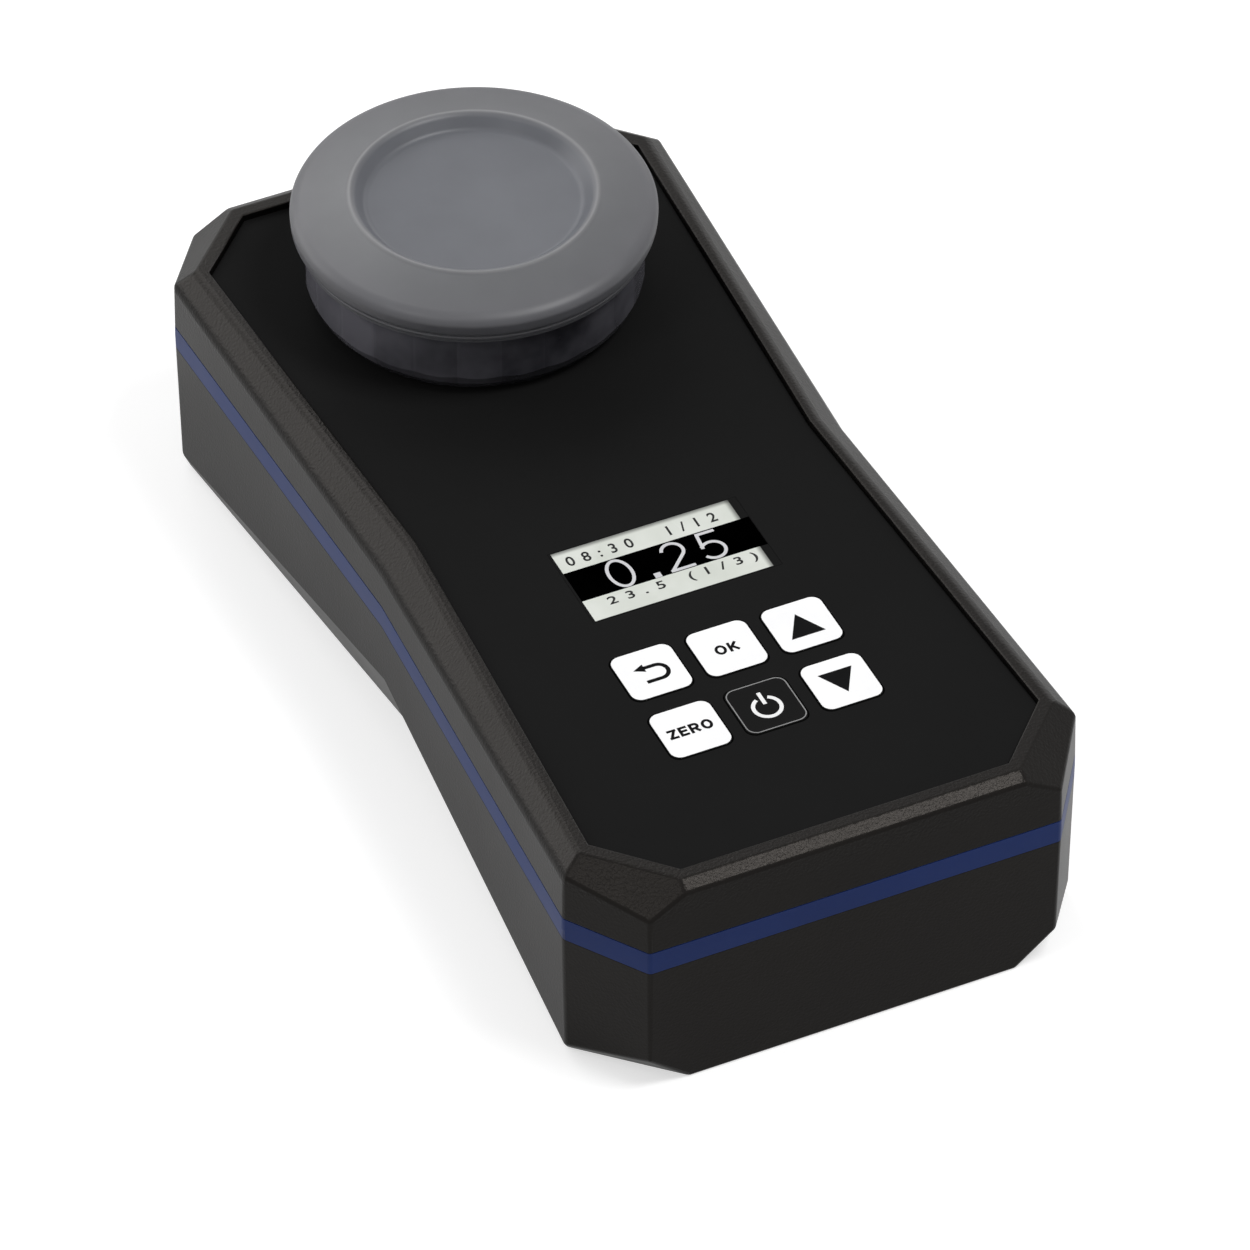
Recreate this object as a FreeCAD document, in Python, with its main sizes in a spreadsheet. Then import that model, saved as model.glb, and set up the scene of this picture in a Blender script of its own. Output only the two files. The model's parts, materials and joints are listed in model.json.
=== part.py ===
# Handheld photometer with a waisted two-part housing, front panel, keys, measuring well and light cap
# Lengths are millimetres. X is across, Y runs towards the measuring well, Z is up from the base.
import FreeCAD, Part
import math
import os
import re

import Sketcher

# Driving dimensions
DIMENSIONS = {
    # housing plan and heights
    "housing_length": 155.0,
    "housing_width": 76.4,
    "waist_inset": 2.9,
    "housing_height": 35.7,
    "parting_height": 23.8,
    "seal_height": 3.7,
    "wall": 2.2,
    "draft_slope": 0.015,
    "corner_cut_width": 7.7,
    "corner_cut_length": 11.1,
    # bevels round the top
    "side_bevel_width": 3.0,
    "side_bevel_drop": 2.65,
    "waist_bevel_width": 4.1,
    "end_bevel_width": 2.0,
    "end_bevel_drop": 1.2,
    "corner_facet_width": 13.1,
    "corner_facet_length": 12.3,
    "corner_facet_drop": 4.4,
    # tapers round the base
    "base_waist_inset": 4.8,
    "base_waist_rise": 12.5,
    "base_corner_inset": 0.9,
    "base_facet_width": 14.3,
    "base_facet_side_rise": 2.1,
    "base_facet_end_rise": 5.6,
    "floor_thickness": 3.4,
    # recess and front panel
    "rim_width": 1.85,
    "waist_rim_width": 1.3,
    "recess_depth": 1.0,
    "panel_thickness": 1.2,
    "deck_thickness": 1.8,
    "fit_gap": 0.1,
    # display
    "display_from_keys": 26.16,
    "window_width": 28.4,
    "window_length": 15.2,
    "display_glass_width": 34.0,
    "display_glass_length": 22.0,
    "display_glass_thickness": 2.0,
    "display_opening_margin": 0.5,
    # keys
    "key_from_end": 34.74,
    "key_pitch_x": 11.27,
    "key_pitch_y": 12.46,
    "key_width": 9.1,
    "key_length": 9.3,
    "key_corner": 1.4,
    "key_gap": 0.2,
    "key_proud": 0.15,
    "key_lip": 0.55,
    "key_lip_thickness": 0.9,
    "key_stem_radius": 2.0,
    "key_travel": 0.5,
    "keypad_margin": 2.1,
    "mat_thickness": 0.8,
    "dome_height": 1.0,
    "dome_radius": 3.2,
    # main board
    "board_drop": 6.1,
    "board_thickness": 1.6,
    "board_end_gap": 14.0,
    "board_side_gap": 8.7,
    "board_far_reach": 10.1,
    "board_corner_cut": 7.0,
    "board_screw_inset": 9.0,
    "board_screw_from_end": 17.5,
    "board_screw_from_well": 26.9,
    "board_screw_radius": 0.9,
    "board_screw_head_radius": 1.9,
    "board_screw_head": 1.4,
    "board_post_radius": 2.6,
    "thread_depth": 2.0,
    # measuring well
    "well_margin": 2.75,
    "collar_radius": 24.0,
    "collar_bore": 17.0,
    "collar_height": 11.6,
    "collar_foot": 2.6,
    "collar_foot_inset": 2.2,
    "collar_facets": 24,
    "collar_spigot_radius": 20.3,
    "collar_floor_height": 3.3,
    "cuvette_bore": 11.0,
    "cuvette_wall": 1.2,
    "cuvette_bottom": 5.2,
    "cuvette_flange_radius": 16.6,
    "cuvette_flange": 1.4,
    "cuvette_seal_section": 0.8,
    "cuvette_seal_radius": 14.6,
    "block_flange_radius": 24.4,
    "block_flange": 2.9,
    "block_neck": 1.3,
    "block_arm_length": 20.0,
    "block_arm_width": 12.0,
    "block_arm_low": 6.0,
    "block_arm_high": 25.0,
    "block_bottom": 4.0,
    "optics_screw_circle": 22.3,
    "optics_screw_radius": 0.9,
    "optics_screw_head_radius": 1.7,
    "optics_screw_head": 1.4,
    # emitters and photodiodes
    "lamp_radius": 2.5,
    "lamp_flange_radius": 2.9,
    "lamp_flange": 1.0,
    "lamp_length": 7.6,
    "beam_radius": 1.5,
    "beam_low": 9.5,
    "beam_step": 6.0,
    "side_board_width": 20.0,
    "side_board_low": 6.5,
    "header_section": 2.5,
    "header_length": 12.0,
    # light cap
    "cap_overhang": 1.9,
    "cap_height": 5.9,
    "cap_shoulder_width": 2.5,
    "cap_shoulder_height": 3.1,
    "cap_skirt_depth": 0.8,
    "cap_skirt_wall": 0.7,
    "cap_clearance": 0.2,
    "cap_seat_gap": 0.1,
    "cap_plug_depth": 5.6,
    "cap_plug_wall": 2.4,
    "cap_dish_radius": 15.5,
    "cap_ring_radius": 17.5,
    "cap_dish_depth": 1.4,
    # batteries
    "battery_radius": 5.25,
    "battery_length": 44.5,
    "battery_gap": 0.4,
    "battery_from_end": 46.5,
    "battery_play": 2.3,
    "battery_top_gap": 0.35,
    "battery_bottom_gap": 0.05,
    "holder_wall": 1.5,
    "contact_thickness": 0.4,
    "contact_width": 7.0,
    "contact_height": 7.5,
    "door_thickness": 1.6,
    "door_seal_thickness": 0.5,
    "door_seal_width": 2.0,
    "door_gap": 0.3,
    "door_ledge_side": 3.2,
    "door_ledge_end": 7.4,
    "door_screw_x": 12.0,
    "door_screw_head": 0.9,
    "door_screw_radius": 1.2,
    "door_screw_head_radius": 2.2,
    "door_screw_length": 7.5,
    "door_post_radius": 2.5,
    "door_rib_width": 3.0,
    "door_rib_place": 12.0,
    # housing screws
    "screw_side_gap": 8.7,
    "screw_end_gap": 15.0,
    "screw_radius": 1.45,
    "screw_head_radius": 2.8,
    "screw_head": 2.4,
    "screw_seat": 2.9,
    "screw_length": 26.5,
    "screw_play": 0.05,
    "post_wall": 1.9,
}

# Places that follow from the driving dimensions
DERIVED = {
    "screw_x": "housing_width / 2 - screw_side_gap",
    "screw_y": "housing_length / 2 - screw_end_gap",
    "key_centre_y": "key_from_end - housing_length / 2",
    "display_y": "key_centre_y + display_from_keys",
    "well_y": "housing_length / 2 - end_bevel_width - rim_width - well_margin - collar_radius",
    "battery_y": "battery_from_end - housing_length / 2",
    "board_half_width": "housing_width / 2 - board_side_gap",
    "board_near_y": "board_end_gap - housing_length / 2",
    "board_end_y": "well_y + board_far_reach",
    "board_screw_x": "board_half_width - board_screw_inset",
    "board_screw_near_y": "board_screw_from_end - housing_length / 2",
    "board_screw_far_y": "well_y - board_screw_from_well",
    "battery_pitch": "2 * battery_radius + battery_gap",
    "holder_height": "2 * battery_radius + battery_top_gap - battery_bottom_gap",
    "battery_shift": "battery_play / 2 - contact_thickness - fit_gap",
    "cap_radius": "collar_radius + cap_overhang",
    "panel_top": "housing_height - recess_depth",
    "panel_bottom": "panel_top - panel_thickness",
    "deck_bottom": "panel_bottom - deck_thickness",
    "board_top": "panel_top - board_drop",
    "board_bottom": "board_top - board_thickness",
    "seal_bottom": "parting_height - seal_height / 2",
    "seal_top": "parting_height + seal_height / 2",
    "key_lip_top": "panel_bottom - fit_gap",
    "key_lip_bottom": "key_lip_top - key_lip_thickness",
    "mat_top": "board_top + mat_thickness",
    "dome_top": "mat_top + dome_height",
    "key_stem_bottom": "dome_top + key_travel + fit_gap",
    "glass_top": "panel_bottom - fit_gap / 2",
    "glass_bottom": "glass_top - display_glass_thickness",
    "collar_top": "panel_top + collar_height",
    "collar_floor": "panel_top + collar_floor_height",
    "block_flange_top": "deck_bottom",
    "block_neck_top": "deck_bottom + block_neck",
    "cuvette_flange_top": "block_neck_top + cuvette_flange",
    "cuvette_seal_top": "cuvette_flange_top + 2 * cuvette_seal_section",
    "cuvette_outer": "cuvette_bore + cuvette_wall",
    "flange_room": "cuvette_flange_radius + 2 * fit_gap",
    "block_bore": "cuvette_outer + 3 * fit_gap",
    "side_board_x": "block_arm_length + 2.5 * lamp_flange",
    "cap_seat": "collar_top + cap_seat_gap",
    "cap_top": "cap_seat + cap_height",
    "cap_skirt_bore": "collar_radius + 2.5 * fit_gap",
    "cap_plug_radius": "collar_bore - cap_clearance",
    "battery_span": "battery_length + battery_play",
    "holder_bottom": "floor_thickness",
    "holder_top": "holder_bottom + holder_height + holder_wall",
    "battery_height": "holder_bottom + holder_height - battery_top_gap - battery_radius",
    "bay_width": "3 * battery_pitch + 4 * fit_gap",
    "door_ledge_height": "door_thickness + door_seal_thickness + fit_gap",
    "door_recess_width": "bay_width + 2 * door_ledge_side",
    "door_recess_length": "battery_span + 2 * door_ledge_end",
    "door_screw_y": "battery_span / 2 + door_ledge_end / 2 + fit_gap * 5",
    "key_field_width": "2 * key_pitch_x + key_width + 2 * key_lip + 2 * keypad_margin",
    "key_field_length": "key_pitch_y + key_length + 2 * key_lip + 2 * keypad_margin",
}

WORD = re.compile(r"[a-z_]+")
SHEET = "Sizes"

doc = FreeCAD.newDocument("photometer")
sheet = doc.addObject("Spreadsheet::Sheet", SHEET)
for row, (alias, value) in enumerate(DIMENSIONS.items(), start=1):
    sheet.set("A%d" % row, str(value))
    sheet.setAlias("A%d" % row, alias)
doc.recompute()


def expression(text):
    """Turn a formula in plain words into one that reads the sheet."""
    def expand(match):
        word = match.group()
        if word in DERIVED:
            return "(" + WORD.sub(expand, DERIVED[word]) + ")"
        return SHEET + "." + word if word in DIMENSIONS else word
    return WORD.sub(expand, text)


def number(text):
    """Value of a formula in plain words, in millimetres."""
    return float(sheet.evalExpression(expression(text)))


def bind(item, prop, text):
    """Tie a property of an object to a formula on the sheet."""
    item.setExpression(prop, expression(text))


# Sketch and body helpers
def new_body(label, x="0", y="0"):
    """Start a body whose own axis stands at x, y."""
    body = doc.addObject("PartDesign::Body", label)
    body.Label = label
    bind(body, "Placement.Base.x", x)
    bind(body, "Placement.Base.y", y)
    return body


def new_sketch(body, role, level="0"):
    """Attach a sketch to one of the body's own origin planes, at a level above it."""
    plane = [feature for feature in body.Origin.OriginFeatures if feature.Role == role][0]
    sketch = body.newObject("Sketcher::SketchObject", body.Label + "_sketch")
    sketch.AttachmentSupport = (plane, [""])
    sketch.MapMode = "FlatFace"
    bind(sketch, "AttachmentOffset.Base.z", level)
    return sketch


def hold_point(sketch, geometry, position, x, y):
    """Tie a point of a sketch to formulas for its place."""
    for kind, text in (("DistanceX", x), ("DistanceY", y)):
        constraint = Sketcher.Constraint(kind, -1, 1, geometry, position, number(text))
        index = sketch.addConstraint(constraint)
        sketch.setExpression("Constraints[%d]" % index, expression(text))


def draw_outline(sketch, points):
    """Draw a closed outline through points given as pairs of formulas."""
    first = sketch.GeometryCount
    places = [FreeCAD.Vector(number(x), number(y), 0) for x, y in points]
    count = len(places)
    for index in range(count):
        line = Part.LineSegment(places[index], places[(index + 1) % count])
        sketch.addGeometry(line, False)
    for index in range(count):
        following = first + (index + 1) % count
        sketch.addConstraint(Sketcher.Constraint("Coincident", first + index, 2, following, 1))
    for index, (x, y) in enumerate(points):
        hold_point(sketch, first + index, 1, x, y)


def draw_rectangle(sketch, width, length, x="0", y="0"):
    """Draw a rectangle about the point x, y."""
    left, right = "%s - (%s) / 2" % (x, width), "%s + (%s) / 2" % (x, width)
    low, high = "%s - (%s) / 2" % (y, length), "%s + (%s) / 2" % (y, length)
    draw_outline(sketch, [(left, low), (right, low), (right, high), (left, high)])


def draw_rounded_rectangle(sketch, width, length, radius, x="0", y="0"):
    """Draw a rectangle about x, y with its corners rounded by tangent arcs."""
    first = sketch.GeometryCount
    arcs = []
    centres = []
    for index, (across, along) in enumerate(((1, 1), (-1, 1), (-1, -1), (1, -1))):
        centre_x = "%s + %d * ((%s) / 2 - (%s))" % (x, across, width, radius)
        centre_y = "%s + %d * ((%s) / 2 - (%s))" % (y, along, length, radius)
        centre = FreeCAD.Vector(number(centre_x), number(centre_y), 0)
        circle = Part.Circle(centre, FreeCAD.Vector(0, 0, 1), number(radius))
        start = index * math.pi / 2
        arcs.append(Part.ArcOfCircle(circle, start, start + math.pi / 2))
        centres.append((centre_x, centre_y))
    for index in range(4):
        sketch.addGeometry(arcs[index], False)
        line = Part.LineSegment(arcs[index].EndPoint, arcs[(index + 1) % 4].StartPoint)
        sketch.addGeometry(line, False)
    for index in range(8):
        following = first + (index + 1) % 8
        sketch.addConstraint(Sketcher.Constraint("Tangent", first + index, 2, following, 1))
    for index, (centre_x, centre_y) in enumerate(centres):
        hold_point(sketch, first + 2 * index, 3, centre_x, centre_y)
        held = sketch.addConstraint(Sketcher.Constraint("Radius", first + 2 * index, number(radius)))
        sketch.setExpression("Constraints[%d]" % held, expression(radius))


def draw_circle(sketch, radius, x="0", y="0"):
    """Draw a circle about the point x, y."""
    centre = FreeCAD.Vector(number(x), number(y), 0)
    circle = Part.Circle(centre, FreeCAD.Vector(0, 0, 1), number(radius))
    index = sketch.addGeometry(circle, False)
    hold_point(sketch, index, 3, x, y)
    held = sketch.addConstraint(Sketcher.Constraint("Radius", index, number(radius)))
    sketch.setExpression("Constraints[%d]" % held, expression(radius))


def pad(body, sketch, height, name="pad"):
    """Raise a sketch by a height."""
    feature = body.newObject("PartDesign::Pad", body.Label + "_" + name)
    feature.Profile = sketch
    bind(feature, "Length", height)
    doc.recompute()
    return feature


def pocket(body, sketch, depth, name="pocket"):
    """Cut a sketch down into the body by a depth, and make sure that it cuts."""
    before = body.Shape.Volume
    feature = body.newObject("PartDesign::Pocket", body.Label + "_" + name)
    feature.Profile = sketch
    bind(feature, "Length", depth)
    doc.recompute()
    if not body.Shape.Volume < before:
        raise RuntimeError("%s cuts nothing" % feature.Label)
    return feature


def revolve(body, points):
    """Turn an outline of radius and height pairs about the body's own axis."""
    sketch = new_sketch(body, "XZ_Plane")
    draw_outline(sketch, points)
    feature = body.newObject("PartDesign::Revolution", body.Label + "_turn")
    feature.Profile = sketch
    feature.ReferenceAxis = (sketch, ["V_Axis"])
    feature.Angle = 360
    doc.recompute()
    return feature


def round_edges(body, radius, chosen):
    """Fillet the edges of a body that a test picks."""
    base = body.Tip
    names = ["Edge%d" % index for index, edge in enumerate(base.Shape.Edges, start=1) if chosen(edge)]
    feature = body.newObject("PartDesign::Fillet", body.Label + "_round")
    feature.Base = (base, names)
    bind(feature, "Radius", radius)
    doc.recompute()
    return feature


def ring_at(radius, height):
    """Test for a full circular edge of one radius at one height."""
    def chosen(edge):
        circle = isinstance(edge.Curve, Part.Circle)
        return circle and abs(edge.Curve.Radius - number(radius)) < 0.01 and \
            abs(edge.Curve.Center.z - number(height)) < 0.01
    return chosen


def plate(label, width, length, low, height, x="0", y="0", corner=None):
    """Rectangular plate about x, y, with its underside at low."""
    body = new_body(label, x, y)
    sketch = new_sketch(body, "XY_Plane", low)
    if corner:
        draw_rounded_rectangle(sketch, width, length, corner)
    else:
        draw_rectangle(sketch, width, length)
    pad(body, sketch, height)
    return body


# Primitive helpers
def cylinder(name, radius, low, height, x="0", y="0"):
    """Upright cylinder about x, y."""
    item = doc.addObject("Part::Cylinder", name)
    bind(item, "Radius", radius)
    bind(item, "Height", height)
    bind(item, "Placement.Base.x", x)
    bind(item, "Placement.Base.y", y)
    bind(item, "Placement.Base.z", low)
    return item


def box(name, width, length, height, x, y, low):
    """Upright box about x, y."""
    item = doc.addObject("Part::Box", name)
    bind(item, "Width", length)
    bind(item, "Length", width)
    bind(item, "Height", height)
    bind(item, "Placement.Base.x", "%s - (%s) / 2" % (x, width))
    bind(item, "Placement.Base.y", "%s - (%s) / 2" % (y, length))
    bind(item, "Placement.Base.z", low)
    return item


def rod_along_x(name, radius, start, length, y, height):
    """Cylinder lying along X from a start."""
    item = cylinder(name, radius, height, length, start, y)
    item.Placement.Rotation = FreeCAD.Rotation(FreeCAD.Vector(0, 1, 0), 90)
    return item


def join(label, items):
    """Fuse several objects into one."""
    item = doc.addObject("Part::MultiFuse", label)
    item.Label = label
    item.Shapes = items
    item.Refine = True
    return item


def cut(label, base, tools):
    """Take one or more tools away from a base."""
    item = doc.addObject("Part::Cut", label)
    item.Label = label
    item.Base = base
    item.Tool = tools[0] if len(tools) == 1 else join(label + "_tools", tools)
    item.Refine = True
    return item


def group(label, items):
    """Keep separate solids together as one node."""
    item = doc.addObject("Part::Compound", label)
    item.Label = label
    item.Links = items
    return item


# Faceted housing
def trimmed(solid, points, inset):
    """Keep the part of a solid on the inner side of the plane through three points, moved in."""
    first, second, third = [FreeCAD.Vector(*point) for point in points]
    outward = (second - first).cross(third - first).normalize()
    centre = FreeCAD.Vector(0, 0, number("parting_height"))
    if outward.dot(first - centre) < 0:
        outward = -outward
    size = 4 * number("housing_length")
    tool = Part.makeBox(size, size, size, FreeCAD.Vector(-size / 2, -size / 2, 0))
    turn = FreeCAD.Rotation(FreeCAD.Vector(0, 0, 1), outward)
    tool.Placement = FreeCAD.Placement(first - outward * inset, turn)
    return solid.cut(tool)


def housing_solid(inset, low, high):
    """Waisted body with chamfered corners, its walls, bevels and facets all moved in by an inset."""
    half_length, half_width, half_waist = number("housing_length / 2"), number("housing_width / 2"), \
        number("housing_width / 2 - waist_inset")
    top, parting, slope = number("housing_height"), number("parting_height"), number("draft_slope")
    corner_y = half_length - number("corner_cut_length")
    end_x = half_width - number("corner_cut_width")
    facet_y = half_length - number("corner_facet_length")
    facet_x = half_width - number("corner_facet_width")
    rim_y = half_length - number("end_bevel_width")
    rim_x = half_width - number("side_bevel_width")
    rim_waist = half_waist - number("waist_bevel_width")
    base_x = half_width - number("base_corner_inset")
    base_facet_x = half_width - number("base_facet_width")
    base_waist = half_waist - number("base_waist_inset")

    def wall(near, far, height):
        """Three points of a drafted wall that leans in away from the parting height."""
        lean = slope * abs(height - parting)
        along = FreeCAD.Vector(far[0] - near[0], far[1] - near[1], 0).normalize()
        outward = FreeCAD.Vector(along.y, -along.x, 0)
        if outward.dot(FreeCAD.Vector(near[0], near[1], 0)) < 0:
            outward = -outward
        return [(near[0], near[1], parting), (far[0], far[1], parting),
                (near[0] - outward.x * lean, near[1] - outward.y * lean, height)]

    lean_height = top if high > parting else 0.0
    solid = Part.makeBox(2 * half_width, half_length + half_width, high - low,
                         FreeCAD.Vector(0, 0, low))
    waist, corner, end = (half_waist, 0.0), (half_width, corner_y), (end_x, half_length)
    for near, far in ((waist, corner), (corner, end), (end, (0.0, half_length))):
        solid = trimmed(solid, wall(near, far, lean_height), inset)
    if high > parting:
        facets = (
            [(rim_waist, 0.0, top), (rim_x, facet_y, top),
             (half_width, facet_y, top - number("side_bevel_drop"))],
            [(rim_x, facet_y, top), (facet_x, rim_y, top),
             (end_x, half_length, top - number("corner_facet_drop"))],
            [(0.0, rim_y, top), (facet_x, rim_y, top), (0.0, half_length, top - number("end_bevel_drop"))],
        )
    else:
        facets = (
            [(base_waist, 0.0, 0.0), (base_x, corner_y, 0.0),
             (half_waist, 0.0, number("base_waist_rise"))],
            [(half_width, corner_y, number("base_facet_side_rise")),
             (end_x, half_length, number("base_facet_end_rise")), (base_facet_x, half_length, 0.0)],
        )
    for points in facets:
        solid = trimmed(solid, points, inset)
    half = solid.fuse(solid.mirror(FreeCAD.Vector(0, 0, 0), FreeCAD.Vector(1, 0, 0)))
    whole = half.fuse(half.mirror(FreeCAD.Vector(0, 0, 0), FreeCAD.Vector(0, 1, 0)))
    return whole.removeSplitter().Solids[0]


def housing_part(label, inset, low, high):
    """Put a faceted housing solid into the document."""
    item = doc.addObject("Part::Feature", label)
    item.Shape = housing_solid(inset, number(low), number(high))
    item.Placement = FreeCAD.Placement()
    return item


def recess_corners(gap):
    """Outline of the recess for the front panel, drawn in by a gap."""
    corner_x = "housing_width / 2 - side_bevel_width - rim_width - %s" % gap
    corner_y = "housing_length / 2 - corner_facet_length - rim_width / 2 - %s" % gap
    end_x = "housing_width / 2 - corner_facet_width - rim_width / 2 - %s" % gap
    end_y = "housing_length / 2 - end_bevel_width - rim_width - %s" % gap
    waist_x = "housing_width / 2 - waist_inset - waist_bevel_width - waist_rim_width - %s" % gap
    right = [(waist_x, "0"), (corner_x, corner_y), (end_x, end_y)]
    far = right + [("-(%s)" % x, y) for x, y in reversed(right)]
    near = [(x, "-(%s)" % y) for x, y in reversed(far[1:-1])]
    return far + near


def key_places():
    """Names and centres of the six keys."""
    names = (("key_back", "key_ok", "key_up"), ("key_zero", "key_power", "key_down"))
    for row, line in enumerate(names):
        for column, name in enumerate(line):
            x = "%d * key_pitch_x" % (column - 1)
            y = "key_centre_y + %s * key_pitch_y" % (0.5 - row)
            yield name, x, y


def signs():
    """The four corners, as signs of X and Y."""
    return [(across, along) for across in (-1, 1) for along in (-1, 1)]


# Shells
def make_upper_shell():
    """Upper half with its recess, deck openings and screw posts."""
    outer = housing_part("upper_outer", 0, "seal_top", "housing_height")
    inner = housing_part("upper_inner", number("wall"), "seal_top", "deck_bottom")
    recess = new_body("recess_space")
    outline = new_sketch(recess, "XY_Plane", "panel_bottom")
    draw_outline(outline, recess_corners("0"))
    pad(recess, outline, "panel_thickness + recess_depth + wall")
    display = box("display_opening", "display_glass_width + 2 * display_opening_margin",
                  "display_glass_length + 2 * display_opening_margin", "2 * deck_thickness", "0",
                  "display_y", "deck_bottom - deck_thickness / 2")
    keypad = box("keypad_opening", "key_field_width - 2 * fit_gap", "key_field_length - 2 * fit_gap",
                 "2 * deck_thickness", "0", "key_centre_y", "deck_bottom - deck_thickness / 2")
    well = cylinder("well_opening", "collar_spigot_radius + 2 * fit_gap",
                    "deck_bottom - deck_thickness / 2", "2 * deck_thickness", "0", "well_y")
    hollow = cut("upper_hollow", outer, [inner, recess, display, keypad, well])
    posts, holes = [], []
    for across, along in signs():
        x, y = "%d * screw_x" % across, "%d * screw_y" % along
        posts.append(cylinder("upper_post", "screw_radius + post_wall", "seal_top - fit_gap",
                              "deck_bottom - seal_top + 2 * fit_gap", x, y))
        holes.append(cylinder("upper_post_hole", "screw_radius + screw_play", "seal_top - 1",
                              "screw_seat + screw_length - seal_top + 1.5", x, y))
        end = "board_screw_near_y" if along < 0 else "board_screw_far_y"
        x = "%d * board_screw_x" % across
        posts.append(cylinder("board_post", "board_post_radius", "board_top",
                              "deck_bottom - board_top + fit_gap", x, end))
        holes.append(cylinder("board_post_hole", "board_screw_radius + screw_play", "board_top - 1",
                              "thread_depth + 1.2", x, end))
        angle = "45" if across == along else "-45"
        side = "%d * optics_screw_circle * cos(%s)" % (across, angle)
        reach = "well_y + %d * optics_screw_circle * sin(45)" % along
        holes.append(cylinder("optics_hole", "optics_screw_radius + screw_play", "deck_bottom - 1",
                              "1 + deck_thickness - 3 * fit_gap", side, reach))
    return cut("upper_shell", join("upper_walls", [hollow] + posts), holes)


def make_lower_shell():
    """Lower half with its floor, battery door recess and screw posts."""
    outer = housing_part("lower_outer", 0, "0", "seal_bottom")
    inner = housing_part("lower_inner", number("wall"), "floor_thickness", "seal_bottom")
    recess = box("door_recess", "door_recess_width", "door_recess_length", "door_ledge_height + 1", "0",
                 "battery_y", "-1")
    bay = box("battery_bay", "bay_width", "battery_span", "floor_thickness + 2", "0", "battery_y", "-1")
    hollow = cut("lower_hollow", outer, [inner, recess, bay])
    posts, holes = [], []
    for across, along in signs():
        x, y = "%d * screw_x" % across, "%d * screw_y" % along
        posts.append(cylinder("lower_post", "screw_radius + post_wall", "0.5 * floor_thickness",
                              "seal_top - 0.5 * floor_thickness - fit_gap", x, y))
        holes.append(cylinder("screw_hole", "screw_radius + 2 * screw_play", "-1", "seal_top + 2", x, y))
        holes.append(cylinder("screw_head_hole", "screw_head_radius + 2 * fit_gap", "-1",
                              "screw_seat + 1", x, y))
        x, y = "%d * door_screw_x" % across, "battery_y + %d * door_screw_y" % along
        posts.append(cylinder("door_post", "door_post_radius", "floor_thickness - fit_gap",
                              "door_screw_length - floor_thickness + 3", x, y))
        holes.append(cylinder("door_screw_hole", "door_screw_radius + 2 * fit_gap", "-1",
                              "door_screw_length + 2.5", x, y))
    return cut("lower_shell", join("lower_walls", [hollow] + posts), holes)


def make_housing_seal():
    """Blue band that stands between the two shells, a wall and a half thick."""
    outer = doc.addObject("Part::Feature", "seal_outer")
    low, high = number("seal_bottom"), number("seal_top")
    parting = number("parting_height")
    under = housing_solid(0, low, parting)
    over = housing_solid(0, parting, high)
    outer.Shape = under.fuse(over).removeSplitter().Solids[0]
    outer.Placement = FreeCAD.Placement()
    inner = doc.addObject("Part::Feature", "seal_inner")
    margin = number("wall")
    inner.Shape = housing_solid(margin, low, parting).fuse(housing_solid(margin, parting, high))
    inner.Placement = FreeCAD.Placement()
    return cut("housing_seal", outer, [inner])


def make_screw(label, radius, head_radius, head, seat, length, x, y, socket=True):
    """Screw that points up, its head under the seat, with a hexagon socket in the head."""
    body = new_body(label, x, y)
    underside = "%s - (%s)" % (seat, head)
    tip = "%s + %s" % (seat, length)
    revolve(body, [("0", underside), (head_radius, underside), (head_radius, seat), (radius, seat),
                   (radius, tip), ("0", tip)])
    if not socket:
        return body
    key = doc.addObject("Part::Prism", label + "_key")
    key.Polygon = 6
    bind(key, "Circumradius", "(%s) / 2" % head_radius)
    bind(key, "Height", "(%s) / 2 + 1" % head)
    bind(key, "Placement.Base.x", x)
    bind(key, "Placement.Base.y", y)
    bind(key, "Placement.Base.z", underside + " - 1")
    return cut(label + "_with_socket", body, [key])


def make_screws():
    """Housing, main board, optics and battery door screws, each kind as one group."""
    housing, board, optics, door = [], [], [], []
    for across, along in signs():
        housing.append(make_screw("housing_screw", "screw_radius", "screw_head_radius", "screw_head",
                                  "screw_seat", "screw_length", "%d * screw_x" % across,
                                  "%d * screw_y" % along))
        end = "board_screw_near_y" if along < 0 else "board_screw_far_y"
        board.append(make_screw("board_screw", "board_screw_radius", "board_screw_head_radius",
                                "board_screw_head", "board_bottom", "board_thickness + thread_depth",
                                "%d * board_screw_x" % across, end))
        optics.append(make_screw("optics_screw", "optics_screw_radius", "optics_screw_head_radius",
                                 "optics_screw_head", "block_flange_top - block_flange / 2",
                                 "block_flange / 2 + deck_thickness - 4 * fit_gap",
                                 "%d * optics_screw_circle * cos(45)" % across,
                                 "well_y + %d * optics_screw_circle * sin(45)" % along))
        door.append(make_screw("door_screw", "door_screw_radius", "door_screw_head_radius",
                               "door_screw_head", "door_screw_head + fit_gap",
                               "door_screw_length", "%d * door_screw_x" % across,
                               "battery_y + %d * door_screw_y" % along))
    return [group("housing_screws", housing), group("board_screws", board),
            group("optics_screws", optics), group("battery_door_screws", door)]


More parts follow.
